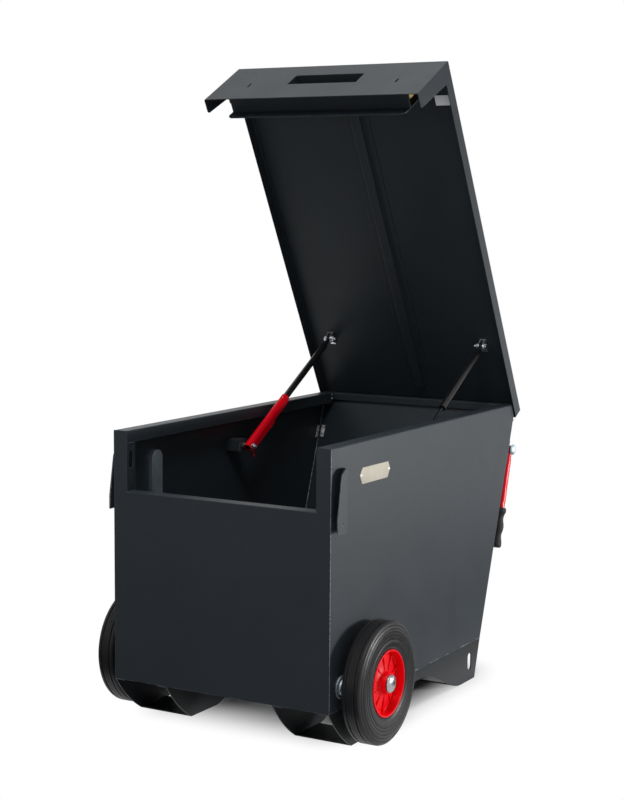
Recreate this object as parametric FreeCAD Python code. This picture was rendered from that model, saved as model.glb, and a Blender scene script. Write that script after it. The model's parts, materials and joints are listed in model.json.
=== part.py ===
import FreeCAD, Part
import math
import os

# Mobile tool box: a welded sheet-steel chest with a slanted rear wall. It stands on two
# skids and two wheels, has a hinged lid on two gas struts, a dropped front edge that the
# lid's deep front flange closes, and two swinging handles at the rear to push it by.
#
# Axes: +X towards the box's right side, +Y from the front to the rear, +Z up.
# While it is modelled, X is 0 in the middle, Y is 0 at the front wall's outer face and
# Z is 0 at the ground. At the end all pieces move together, so that the origin is the
# middle of the underside of the whole. The lid is modelled closed, then turned open.

# Lengths are in millimetres, angles in degrees.

# Sheet metal in general
SHEET = 2.0
BEND = 1.5
ROUND_END_SHARE = 0.98
HEXAGON_SIDES = 6
OVERRUN = 20.0
WORKING_GAP = 0.3
RUNNING_GAP = 0.05

# Box body
BODY_WIDTH = 608.0
BODY_HEIGHT = 620.0
BODY_DEPTH_TOP = 1048.0
BODY_DEPTH_BASE = 834.0
RUNNER_HEIGHT = 102.0
RIM_WIDTH = 38.5
RIM_LIP = 30.0
LIP_CHAMFER = 20.0
REAR_RIM_WIDTH = 20.0
REAR_RIM_LIP = 21.0

# Dropped front edge with its folded-back returns
CUTOUT_DROP = 149.4
RETURN_DEPTH = 35.0
LOCK_SLOT_Y = 17.0
LOCK_SLOT_WIDTH = 16.0
LOCK_SLOT_HEIGHT = 42.0
LOCK_SLOT_DROP = 71.0
LOCK_SLOT_CORNER = 2.0

# Skids under the floor
RUNNER_WIDTH = 154.0
RUNNER_PLATE = 3.0
RUNNER_FLANGE = 28.0
NOSE_LENGTH = 108.5
NOSE_BULGE = 8.0
FRONT_FOOT_END = 219.0
ARCH_START = 432.0
ARCH_END = 481.0
ARCH_HEIGHT = 75.0
REAR_WEB_LENGTH = 152.0
REAR_FOOT_LENGTH = 83.0
TAIL_RUN = 31.0
ARCH_RISE_HANDLE = 60.0
ARCH_TOP_HANDLE = 110.0
ARCH_FALL_HANDLE = 90.0
ARCH_LAND_HANDLE = 80.0
LASHING_SLOT_SETBACK = 33.0
LASHING_SLOT_Z = 52.0
LASHING_SLOT_WIDTH = 22.0
LASHING_SLOT_HEIGHT = 46.0

# Guards that cover the lid's front legs
GUARD_PLATE = 3.0
GUARD_STANDOFF = 15.0
GUARD_BOTTOM_DROP = 197.0
GUARD_HEIGHT = 147.0
GUARD_FRONT = 4.0
GUARD_STRAIGHT = 33.0
GUARD_SHOULDER = 134.0
GUARD_LEAN = 17.5
GUARD_FOLD_Y = 48.0
GUARD_FOOT_Y = 56.0
GUARD_CORNER = 17.0
GUARD_HOLE_Y = 27.0
GUARD_HOLE_RISE = 22.0
GUARD_HOLE_RADIUS = 2.5

# Wheels and axles
WHEEL_Y = 164.3
WHEEL_RADIUS = 148.0
TYRE_WIDTH = 58.0
WHEEL_CENTRE_OFFSET = 44.0
TYRE_CROWN = 24.0
TYRE_SHOULDER = 6.0
TYRE_SHOULDER_INSET = 5.0
TYRE_BEAD_INSET = 5.0
TYRE_BEAD_RISE = 12.0
HUB_RADIUS = 81.0
HUB_WIDTH = 54.0
HUB_RIM = 5.0
HUB_WEB = 5.0
HUB_WEB_DEPTH = 20.0
HUB_DISH = 8.0
HUB_BOSS_RADIUS = 22.0
HUB_BOSS_RISE = 2.0
HUB_RIB_DROP = 8.0
HUB_RIBS = 10
HUB_RIB = 3.0
BUSH_WALL = 3.5
AXLE_RADIUS = 10.0
AXLE_HEAD_RADIUS = 12.0
AXLE_COLLAR_RADIUS = 17.0
AXLE_END = 5.0
CAP_RADIUS = 22.0
CAP_HEIGHT = 9.0
CAP_RIM = 2.5

# Zinc bolts with a wide head, on the side walls ahead of the wheels
SIDE_BOLT_Y = 56.0
SIDE_BOLT_Z = 155.0
SIDE_BOLT_RADIUS = 27.0
SIDE_BOLT_STEM_RADIUS = 10.0
SIDE_BOLT_RISE = 4.0
SIDE_BOLT_HEAD = 4.0

# Pressed straps that carry the axles inside the side walls
STRAP_Y = 166.0
STRAP_WIDTH = 44.0
STRAP_DEPTH = 11.0
STRAP_TOP_DROP = 67.0

# Gas struts
STRUT_X = 240.0
STRUT_UPPER_S = 219.0
STRUT_UPPER_D = 17.0
STRUT_LOWER_SETBACK = 530.0
STRUT_LOWER_DROP = 96.0
CYLINDER_RADIUS = 9.0
CYLINDER_LENGTH = 285.0
CYLINDER_WALL = 1.5
CYLINDER_HEAD = 26.0
CYLINDER_GLAND = 15.0
GROOVE_SETBACK = 30.0
GROOVE_WIDTH = 2.0
GROOVE_DEPTH = 0.6
ROD_RADIUS = 4.0
PISTON_LENGTH = 10.0
PISTON_SETBACK = 8.0
EYE_WIDTH = 10.0
UPPER_EYE_RADIUS = 9.0
LOWER_EYE_RADIUS = 7.5
EYE_SHANK_RADIUS = 5.5
EYE_SHANK = 34.0
STRUT_BOLT_RADIUS = 4.0
STRUT_NUT_RADIUS = 7.5
STRUT_NUT = 6.5
STRUT_BOLT_TIP = 6.0
CLEVIS_EAR = 3.0
CLEVIS_EAR_RADIUS = 10.0
CLEVIS_BASE_LENGTH = 40.0
CLEVIS_BASE_FORWARD = 14.0
BLOCK_SIZE = 34.0
BLOCK_WALL = 3.0
BLOCK_X = 258.0

# Safety sleeve over the left strut's rod
SLEEVE_SHEET = 1.6
SLEEVE_GAP = 0.6
SLEEVE_CYLINDER_GAP = 3.0
SLEEVE_SHALLOW = 9.0
SLEEVE_DEEP = 15.0
SLEEVE_STEP_FROM_BOLT = 130.0
SLEEVE_STEP_RUN = 8.0
SLEEVE_TAIL = 9.0
SLEEVE_HOLE_RADIUS = 3.0
SLEEVE_HOLE_SETBACK = 14.0
SLEEVE_HOOK_LENGTH = 15.0
SLEEVE_HOOK_WIDTH = 5.0

# Lid
LID_OPEN = 61.6
LID_SIDE_GAP = 3.0
LID_END_GAP = 1.0
LID_TOP_GAP = 0.6
LID_FLANGE = 36.0
LID_FRONT_FLANGE = 190.0
LEG_DEPTH = 48.0
LEG_TAPER = 8.0
LEG_CORNER = 8.0
HANDLE_SLOT_WIDTH = 200.0
HANDLE_SLOT_TOP_D = 59.0
HANDLE_SLOT_BOTTOM_D = 111.0
CUP_DEPTH = 37.0
CUP_SHEET = 1.5
CUP_FLANGE = 10.0
KEYHOLE_X = 214.5
KEYHOLE_D = 110.0
KEYHOLE_HEIGHT = 22.0
KEYHOLE_WIDTH = 5.0
SKIRT_Y = 52.0
SKIRT_SHELF_D = 150.0
SKIRT_BOTTOM_D = 186.0
SKIRT_TOP_FLANGE = 20.0
SKIRT_CORNER = 18.0
STIFFENER_X = 12.0
STIFFENER_FACE = 26.0
STIFFENER_HEIGHT = 12.0
STIFFENER_SHEET = 1.5
STIFFENER_FLANGE = 20.0
STIFFENER_REAR_S = 65.0
STIFFENER_FLARE = 2.0

# Locks in the lid's front
LOCK_CASE_X = 195.0
FOREND_X = 262.0
FOREND_SHEET = 3.0
FOREND_WIDTH = 24.0
FOREND_TOP_D = 42.0
FOREND_BOTTOM_D = 149.0
LOCK_CASE_THICKNESS = 15.0
LOCK_CASE_WALL = 1.5
LOCK_CASE_TOP_D = 52.0
LOCK_CASE_BOTTOM_D = 128.0
LOCK_BOLT_THICKNESS = 10.0
LOCK_BOLT_HEIGHT = 30.0
LOCK_BOLT_LENGTH = 38.0
LOCK_PILLAR_RADIUS = 5.0
LOCK_PILLAR_INSET = 12.0

# Hinge
HINGE_WALL_GAP = 5.15
HINGE_FLANGE_GAP = 5.3
HINGE_DROP = 28.2
KNUCKLE_RADIUS = 4.8
HINGE_PIN_RADIUS = 3.0
HINGE_LEAF = 1.5
HINGE_LEAF_LENGTH = 24.0
HINGE_HALF_WIDTH = 295.0
KNUCKLES = 7
KNUCKLE_GAP = 0.4

# Handles at the rear
HANDLE_X = 280.0
HANDLE_STANDOFF = 52.0
HANDLE_DROP = 130.0
HANDLE_SPREAD = 2.04
HANDLE_TUBE_RADIUS = 13.0
HANDLE_TUBE_WALL = 2.0
HANDLE_TUBE_LENGTH = 270.0
HANDLE_LOBE_RADIUS = 12.0
HANDLE_REAR_CUT = 8.0
HANDLE_FRONT_CUT = 24.0
HANDLE_BOLT_RADIUS = 6.0
HANDLE_HEAD_RADIUS = 11.0
HANDLE_HEAD = 7.0
HANDLE_NUT = 7.0
GRIP_START = 166.0
GRIP_LENGTH = 111.0
GRIP_RADIUS = 16.5
GRIP_COLLAR_RADIUS = 18.0
GRIP_COLLAR = 9.0
GRIP_WAIST = 1.6
GRIP_ROUND = 3.0
LUG_THICKNESS = 10.0
LUG_NECK = 7.0
LUG_SPREAD = 16.0
BRACKET_PLATE = 5.0
BRACKET_HALF_HEIGHT = 30.0
BRACKET_HALF_WIDTH = 23.0
GUSSET_LEG = 22.0
GUSSET_SHEET = 3.0
GUSSET_TOP_DROP = 95.0
GUSSET_HEIGHT = 37.0

# Places that follow from the sizes above
FLOOR_Z = RUNNER_HEIGHT
RIM_Z = FLOOR_Z + BODY_HEIGHT
HALF_WIDTH = BODY_WIDTH / 2
RUNNER_BASE_DEPTH = BODY_DEPTH_BASE - TAIL_RUN
REAR_FOOT_START = RUNNER_BASE_DEPTH - REAR_FOOT_LENGTH
RIM_X = HALF_WIDTH - RIM_WIDTH
CUTOUT_Z = RIM_Z - CUTOUT_DROP
SLOPE = (BODY_DEPTH_TOP - BODY_DEPTH_BASE) / BODY_HEIGHT
SLANT = math.degrees(math.atan(SLOPE))
WALL_RUN = SHEET / math.cos(math.radians(SLANT))
LOCK_Z = RIM_Z - LOCK_SLOT_DROP
LID_HALF_WIDTH = HALF_WIDTH + LID_SIDE_GAP + SHEET
LID_TOP_Z = RIM_Z + LID_TOP_GAP + SHEET
LID_FRONT_Y = -LID_END_GAP - SHEET
LID_INNER_Z = LID_TOP_Z - SHEET
SKIRT_HALF_WIDTH = FOREND_X - FOREND_SHEET - WORKING_GAP
WHEEL_X = HALF_WIDTH + WHEEL_CENTRE_OFFSET

# The hinge's axis lies in the wedge between the leaning wall and the lid's rear flange: as
# deep as HINGE_DROP, or higher up where a steeper wall would leave it more room than it needs.
HINGE_WALL_RUN = HINGE_WALL_GAP / math.cos(math.radians(SLANT))
HINGE_Z = RIM_Z - min(HINGE_DROP, (HINGE_WALL_RUN + HINGE_FLANGE_GAP - LID_END_GAP) / SLOPE)
HINGE_Y = BODY_DEPTH_TOP - SLOPE * (RIM_Z - HINGE_Z) + HINGE_WALL_RUN
LID_REAR_Y = HINGE_Y + HINGE_FLANGE_GAP + SHEET

STRUT_LOWER_Y = BODY_DEPTH_TOP - STRUT_LOWER_SETBACK
STRUT_LOWER_Z = RIM_Z - STRUT_LOWER_DROP
HANDLE_Z = RIM_Z - HANDLE_DROP
HANDLE_LEAN = SLANT - HANDLE_SPREAD
HANDLE_BORE = HANDLE_TUBE_RADIUS - HANDLE_TUBE_WALL
LUG_RADIUS = math.sqrt((HANDLE_BORE - WORKING_GAP) ** 2 - (LUG_THICKNESS / 2) ** 2)


# Plain shapes

def on_yz(u, v):
    """Point of a side view, u rearwards and v upwards."""
    return FreeCAD.Vector(0, u, v)


def on_xz(u, v):
    """Point of a front view, u to the right and v upwards."""
    return FreeCAD.Vector(u, 0, v)


def on_xy(u, v):
    """Point of a top view, u to the right and v rearwards."""
    return FreeCAD.Vector(u, v, 0)


def rounded_face(points, plane):
    """Flat face with straight sides. A point's third value is its corner's radius."""
    stations = []
    for index, point in enumerate(points):
        here = FreeCAD.Vector(point[0], point[1], 0)
        radius = point[2] if len(point) > 2 else 0
        if not radius:
            stations.append((here, here, here))
            continue
        before = points[index - 1]
        after = points[(index + 1) % len(points)]
        back = (FreeCAD.Vector(before[0], before[1], 0) - here).normalize()
        ahead = (FreeCAD.Vector(after[0], after[1], 0) - here).normalize()
        half_angle = back.getAngle(ahead) / 2
        reach = radius / math.tan(half_angle)
        inwards = (back + ahead).normalize()
        crown = radius / math.sin(half_angle) - radius
        stations.append((here + back * reach, here + inwards * crown, here + ahead * reach))
    edges = []
    for index, (start, middle, end) in enumerate(stations):
        following = stations[(index + 1) % len(stations)][0]
        if not start.isEqual(end, 0):
            arc = Part.Arc(plane(start.x, start.y), plane(middle.x, middle.y), plane(end.x, end.y))
            edges.append(arc.toShape())
        if not end.isEqual(following, 0):
            side = Part.LineSegment(plane(end.x, end.y), plane(following.x, following.y))
            edges.append(side.toShape())
    return Part.Face(Part.Wire(edges))


def along_x(points, low, high):
    """Solid with the side view given, from x = low to x = high."""
    face = rounded_face(points, on_yz)
    face.translate(FreeCAD.Vector(low, 0, 0))
    return face.extrude(FreeCAD.Vector(high - low, 0, 0))


def along_y(points, low, high):
    """Solid with the front view given, from y = low to y = high."""
    face = rounded_face(points, on_xz)
    face.translate(FreeCAD.Vector(0, low, 0))
    return face.extrude(FreeCAD.Vector(0, high - low, 0))


def along_z(points, low, high):
    """Solid with the top view given, from z = low to z = high."""
    face = rounded_face(points, on_xy)
    face.translate(FreeCAD.Vector(0, 0, low))
    return face.extrude(FreeCAD.Vector(0, 0, high - low))


def box(x_range, y_range, z_range):
    """Rectangular solid between the given limits."""
    corner = FreeCAD.Vector(x_range[0], y_range[0], z_range[0])
    sizes = (x_range[1] - x_range[0], y_range[1] - y_range[0], z_range[1] - z_range[0])
    return Part.makeBox(*sizes, corner)


def rod_x(radius, low, high, y, z):
    """Round bar along X."""
    return Part.makeCylinder(radius, high - low, FreeCAD.Vector(low, y, z), FreeCAD.Vector(1, 0, 0))


def turned_x(points, y, z):
    """Solid of revolution about the line along X at y, z. Points are (x, radius, rounding)."""
    face = rounded_face(points, on_xz)
    face.translate(FreeCAD.Vector(0, y, z))
    return face.revolve(FreeCAD.Vector(0, y, z), FreeCAD.Vector(1, 0, 0), 360)


def turned_z(points, x, y):
    """Solid of revolution about the line along Z at x, y. Points are (radius, z, rounding)."""
    face = rounded_face(points, on_xz)
    face.translate(FreeCAD.Vector(x, y, 0))
    return face.revolve(FreeCAD.Vector(x, y, 0), FreeCAD.Vector(0, 0, 1), 360)


def slot_points(u, v, width, height):
    """Corner points of an upright slot with round ends."""
    half = width / 2
    tall = height / 2
    round_end = half * ROUND_END_SHARE
    return [
        (u - half, v - tall, round_end),
        (u + half, v - tall, round_end),
        (u + half, v + tall, round_end),
        (u - half, v + tall, round_end),
    ]


def rectangle(u_range, v_range, radius=0):
    """Corner points of a rectangle with corners of one radius."""
    return [
        (u_range[0], v_range[0], radius),
        (u_range[1], v_range[0], radius),
        (u_range[1], v_range[1], radius),
        (u_range[0], v_range[1], radius),
    ]


def folded(path, sheet=SHEET, bend=BEND):
    """Section of a folded sheet: the path is one of its faces, the metal is on its left."""
    points = [FreeCAD.Vector(u, v, 0) for u, v in path]
    runs = [(b - a).normalize() for a, b in zip(points, points[1:])]
    lefts = [FreeCAD.Vector(-run.y, run.x, 0) for run in runs]
    near = [(points[0].x, points[0].y)]
    start = points[0] + lefts[0] * sheet
    far = [(start.x, start.y)]
    for index in range(1, len(points) - 1):
        turn = runs[index - 1].cross(runs[index]).z
        spread = (lefts[index - 1] + lefts[index]) * (sheet / (1 + lefts[index - 1].dot(lefts[index])))
        inner = points[index] + spread
        near.append((points[index].x, points[index].y, bend + sheet if turn > 0 else bend))
        far.append((inner.x, inner.y, bend if turn > 0 else bend + sheet))
    end = points[-1] + lefts[-1] * sheet
    near.append((points[-1].x, points[-1].y))
    far.append((end.x, end.y))
    return near + far[::-1]


def joined(shapes):
    """One solid from shapes that touch."""
    whole = shapes[0]
    if len(shapes) > 1:
        whole = shapes[0].fuse(shapes[1:])
    return whole.removeSplitter()


def hexagon(radius):
    """Corner points of a hexagon about the origin, by its corner radius."""
    points = []
    for corner in range(HEXAGON_SIDES):
        angle = math.tau * corner / HEXAGON_SIDES
        points.append((radius * math.cos(angle), radius * math.sin(angle)))
    return points


def nut_x(radius, low, high, y, z):
    """Hexagon along X about the line at y, z."""
    return along_x([(y + u, z + v) for u, v in hexagon(radius)], low, high)


def both_sides(name, right):
    """The right-hand piece and its mirror image on the left."""
    left = right.mirror(FreeCAD.Vector(0, 0, 0), FreeCAD.Vector(1, 0, 0))
    return {name + "_right": right, name + "_left": left}


# Box body

def rear_y(z):
    """Outer face of the slanted rear wall at height z."""
    return BODY_DEPTH_BASE + SLOPE * (z - FLOOR_Z)


def behind_wall(inset, x_range):
    """All that lies behind the rear wall's outer face, or behind a face inset from it."""
    low = FLOOR_Z - OVERRUN
    high = RIM_Z + OVERRUN
    far = rear_y(high) + OVERRUN
    outline = [(rear_y(low) - inset, low), (far, low), (far, high), (rear_y(high) - inset, high)]
    return along_x(outline, *x_range)


def side_panel():
    """Side wall with its rim folded in and turned down. The lip ends in a chamfer."""
    path = [(HALF_WIDTH, FLOOR_Z), (HALF_WIDTH, RIM_Z), (RIM_X, RIM_Z), (RIM_X, RIM_Z - RIM_LIP)]
    wall = along_y(folded(path), SHEET, BODY_DEPTH_TOP + OVERRUN)
    wall = wall.cut(behind_wall(0, (0, HALF_WIDTH + OVERRUN)))
    wall = wall.cut(behind_wall(WALL_RUN, (0, HALF_WIDTH - SHEET)))
    lip_z = RIM_Z - RIM_LIP
    lip_end = rear_y(lip_z) - WALL_RUN
    corner = [
        (lip_end - LIP_CHAMFER, lip_z),
        (lip_end - LIP_CHAMFER, lip_z - OVERRUN),
        (lip_end + OVERRUN, lip_z - OVERRUN),
        (lip_end + OVERRUN, lip_z + LIP_CHAMFER + OVERRUN),
    ]
    return wall.cut(along_x(corner, RIM_X - OVERRUN, RIM_X + SHEET + BEND))


def front_panel():
    """Front wall with its dropped edge: posts and edge have folded-back returns."""
    wall = box((-HALF_WIDTH, HALF_WIDTH), (0, SHEET), (FLOOR_Z, RIM_Z))
    outer = box((-RIM_X - SHEET, RIM_X + SHEET), (0, RETURN_DEPTH), (CUTOUT_Z - SHEET, RIM_Z))
    mouth = box((-RIM_X, RIM_X), (-OVERRUN, RETURN_DEPTH + OVERRUN), (CUTOUT_Z, RIM_Z + OVERRUN))
    wall = joined([wall, outer]).cut(mouth)
    edges = []
    for edge in wall.Edges:
        middle = edge.CenterOfMass
        on_front = abs(middle.y) < WORKING_GAP
        on_post = abs(abs(middle.x) - RIM_X) < WORKING_GAP and middle.z > CUTOUT_Z
        on_lip = abs(middle.z - CUTOUT_Z) < WORKING_GAP and abs(middle.x) < RIM_X
        if on_front and (on_post or on_lip):
            edges.append(edge)
    wall = wall.makeFillet(BEND, edges)
    rim = box((-HALF_WIDTH, HALF_WIDTH), (SHEET, RETURN_DEPTH + OVERRUN), (RIM_Z - RIM_LIP, RIM_Z + OVERRUN))
    wall = wall.cut(rim)
    y_range = (LOCK_SLOT_Y - LOCK_SLOT_WIDTH / 2, LOCK_SLOT_Y + LOCK_SLOT_WIDTH / 2)
    z_range = (LOCK_Z - LOCK_SLOT_HEIGHT / 2, LOCK_Z + LOCK_SLOT_HEIGHT / 2)
    slot = rectangle(y_range, z_range, LOCK_SLOT_CORNER)
    return wall.cut(along_x(slot, -HALF_WIDTH, HALF_WIDTH))


def rear_panel():
    """Slanted rear wall with its top folded forwards and down, between the side rims."""
    path = [
        (BODY_DEPTH_BASE, FLOOR_Z),
        (BODY_DEPTH_TOP, RIM_Z),
        (BODY_DEPTH_TOP - REAR_RIM_WIDTH, RIM_Z),
        (BODY_DEPTH_TOP - REAR_RIM_WIDTH, RIM_Z - REAR_RIM_LIP),
    ]
    inside = HALF_WIDTH - SHEET
    wall = along_x(folded(path), -inside, inside)
    for x_range in ((-inside, -RIM_X), (RIM_X, inside)):
        y_range = (BODY_DEPTH_TOP - REAR_RIM_WIDTH - OVERRUN, BODY_DEPTH_TOP + OVERRUN)
        corner = box(x_range, y_range, (RIM_Z - RIM_LIP - OVERRUN, RIM_Z + OVERRUN))
        wall = wall.cut(corner.cut(behind_wall(WALL_RUN, x_range)))
    return wall


def floor_panel():
    """Flat floor between the four walls."""
    top = FLOOR_Z + SHEET
    outline = [
        (SHEET, FLOOR_Z),
        (rear_y(FLOOR_Z) - WALL_RUN, FLOOR_Z),
        (rear_y(top) - WALL_RUN, top),
        (SHEET, top),
    ]
    return along_x(outline, -HALF_WIDTH + SHEET, HALF_WIDTH - SHEET)


def runner_face():
    """Side view of a skid: a bulging nose, two flat feet and an arch between them."""
    chord = FreeCAD.Vector(NOSE_LENGTH, -RUNNER_HEIGHT, 0).normalize()
    middle_y = NOSE_LENGTH / 2 + chord.y * NOSE_BULGE
    middle_z = RUNNER_HEIGHT / 2 - chord.x * NOSE_BULGE
    nose = Part.Arc(on_yz(0, RUNNER_HEIGHT), on_yz(middle_y, middle_z), on_yz(NOSE_LENGTH, 0))
    rise = Part.BezierCurve()
    rise.setPoles([
        on_yz(FRONT_FOOT_END, 0),
        on_yz(FRONT_FOOT_END + ARCH_RISE_HANDLE, 0),
        on_yz(ARCH_START - ARCH_TOP_HANDLE, ARCH_HEIGHT),
        on_yz(ARCH_START, ARCH_HEIGHT),
    ])
    fall = Part.BezierCurve()
    fall.setPoles([
        on_yz(ARCH_END, ARCH_HEIGHT),
        on_yz(ARCH_END + ARCH_FALL_HANDLE, ARCH_HEIGHT),
        on_yz(REAR_FOOT_START - ARCH_LAND_HANDLE, 0),
        on_yz(REAR_FOOT_START, 0),
    ])
    edges = [
        nose.toShape(),
        Part.makeLine(on_yz(NOSE_LENGTH, 0), on_yz(FRONT_FOOT_END, 0)),
        rise.toShape(),
        Part.makeLine(on_yz(ARCH_START, ARCH_HEIGHT), on_yz(ARCH_END, ARCH_HEIGHT)),
        fall.toShape(),
        Part.makeLine(on_yz(REAR_FOOT_START, 0), on_yz(RUNNER_BASE_DEPTH, 0)),
        Part.makeLine(on_yz(RUNNER_BASE_DEPTH, 0), on_yz(BODY_DEPTH_BASE, RUNNER_HEIGHT)),
        Part.makeLine(on_yz(BODY_DEPTH_BASE, RUNNER_HEIGHT), on_yz(0, RUNNER_HEIGHT)),
    ]
    return Part.Face(Part.Wire(edges))


def runner():
    """Skid of two shaped plates with welding flanges on top and a web under each foot."""
    inner_x = HALF_WIDTH - RUNNER_WIDTH
    face = runner_face()
    full = face.extrude(FreeCAD.Vector(RUNNER_WIDTH, 0, 0))
    full.translate(FreeCAD.Vector(inner_x, 0, 0))
    raised = full.translated(FreeCAD.Vector(0, 0, RUNNER_PLATE))
    webs = full.cut(raised)
    plates = []
    for x in (inner_x, HALF_WIDTH - RUNNER_PLATE):
        plate = face.extrude(FreeCAD.Vector(RUNNER_PLATE, 0, 0))
        plate.translate(FreeCAD.Vector(x, 0, 0))
        plates.append(plate)
    for y_range in ((NOSE_LENGTH, FRONT_FOOT_END), (RUNNER_BASE_DEPTH - REAR_WEB_LENGTH, RUNNER_BASE_DEPTH)):
        reach = box((inner_x, HALF_WIDTH), y_range, (0, ARCH_HEIGHT))
        plates.append(webs.common(reach))
    top = (RUNNER_HEIGHT - RUNNER_PLATE, RUNNER_HEIGHT)
    for x_range in ((inner_x, inner_x + RUNNER_FLANGE), (HALF_WIDTH - RUNNER_FLANGE, HALF_WIDTH)):
        plates.append(box(x_range, (0, BODY_DEPTH_BASE), top).common(full))
    skid = joined(plates)
    slot_y = RUNNER_BASE_DEPTH - LASHING_SLOT_SETBACK
    slot = slot_points(slot_y, LASHING_SLOT_Z, LASHING_SLOT_WIDTH, LASHING_SLOT_HEIGHT)
    return skid.cut(along_x(slot, HALF_WIDTH - RUNNER_PLATE - WORKING_GAP, HALF_WIDTH + OVERRUN))


def guard():
    """Cover over the lid's front leg: a leaning plate with its rear folded to the wall."""
    bottom = RIM_Z - GUARD_BOTTOM_DROP
    top = bottom + GUARD_HEIGHT
    outer_x = HALF_WIDTH + GUARD_STANDOFF + GUARD_PLATE
    inner = outer_x - GUARD_PLATE
    path = [(HALF_WIDTH, GUARD_FOOT_Y), (inner, GUARD_FOLD_Y), (inner, -OVERRUN)]
    strip = along_z(folded(path, GUARD_PLATE), bottom, top)
    outline = [
        (GUARD_FRONT, bottom, BEND),
        (GUARD_FOOT_Y + OVERRUN, bottom),
        (GUARD_FOOT_Y + OVERRUN, top),
        (GUARD_FRONT + GUARD_LEAN + GUARD_CORNER, top, GUARD_CORNER),
        (GUARD_FRONT + GUARD_LEAN, bottom + GUARD_SHOULDER, GUARD_CORNER),
        (GUARD_FRONT, bottom + GUARD_STRAIGHT, GUARD_CORNER),
    ]
    shape = strip.common(along_x(outline, HALF_WIDTH, outer_x + OVERRUN))
    hole = rod_x(GUARD_HOLE_RADIUS, HALF_WIDTH, outer_x + OVERRUN, GUARD_HOLE_Y, bottom + GUARD_HOLE_RISE)
    return shape.cut(hole)


def axle_strap():
    """Pressed strap inside the side wall, hollow towards the wall, with a round top."""
    inside = HALF_WIDTH - SHEET
    half = STRAP_WIDTH / 2
    low = FLOOR_Z + SHEET
    high = RIM_Z - STRAP_TOP_DROP
    shell = None
    for margin, depth in ((0, STRAP_DEPTH), (SHEET, STRAP_DEPTH - SHEET)):
        round_top = (half - margin) * ROUND_END_SHARE
        outline = [
            (STRAP_Y - half + margin, low),
            (STRAP_Y + half - margin, low),
            (STRAP_Y + half - margin, high - margin, round_top),
            (STRAP_Y - half + margin, high - margin, round_top),
        ]
        block = along_x(outline, inside - depth, inside)
        shell = block if shell is None else shell.cut(block)
    return shell


def strut_block():
    """Square box bracket on the side wall that carries the strut's lower bolt."""
    inside = HALF_WIDTH - SHEET
    limits = []
    for half in (BLOCK_SIZE / 2, BLOCK_SIZE / 2 - BLOCK_WALL):
        y_range = (STRUT_LOWER_Y - half, STRUT_LOWER_Y + half)
        limits.append((y_range, (STRUT_LOWER_Z - half, STRUT_LOWER_Z + half)))
    hollow = box((BLOCK_X + BLOCK_WALL, inside), *limits[1])
    return along_x(rectangle(*limits[0], BLOCK_WALL), BLOCK_X, inside).cut(hollow)


def corner_gusset():
    """Angle piece inside each rear corner, behind the handle's bracket."""
    inside = HALF_WIDTH - SHEET
    high = RIM_Z - GUSSET_TOP_DROP
    low = high - GUSSET_HEIGHT
    slab = box((inside - GUSSET_LEG, inside), (0, BODY_DEPTH_TOP), (low, high))
    leg = GUSSET_SHEET / math.cos(math.radians(SLANT))
    front = behind_wall(WALL_RUN, (0, inside))
    band = slab.cut(front).common(behind_wall(WALL_RUN + GUSSET_LEG, (0, inside)))
    hollow = band.cut(behind_wall(WALL_RUN + leg, (0, inside)))
    hollow = hollow.common(box((0, inside - GUSSET_SHEET), (0, BODY_DEPTH_TOP), (low, high)))
    return band.cut(hollow)


# Wheels

def tyre():
    """Solid rubber tyre with bevelled beads and shoulders."""
    half = TYRE_WIDTH / 2
    bead = HUB_RADIUS + RUNNING_GAP
    outer = [
        (half - TYRE_BEAD_INSET, bead),
        (half, bead + TYRE_BEAD_RISE),
        (half, WHEEL_RADIUS - TYRE_CROWN),
        (half - TYRE_SHOULDER_INSET, WHEEL_RADIUS - TYRE_SHOULDER),
        (half - TYRE_SHOULDER_INSET - TYRE_SHOULDER, WHEEL_RADIUS),
    ]
    section = [(WHEEL_X + x, radius) for x, radius in outer]
    section += [(WHEEL_X - x, radius) for x, radius in outer[::-1]]
    return turned_x(section, WHEEL_Y, WHEEL_RADIUS)


def boss_end():
    """Outer end of the hub's boss."""
    return WHEEL_X + HUB_WIDTH / 2 + HUB_BOSS_RISE


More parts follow.
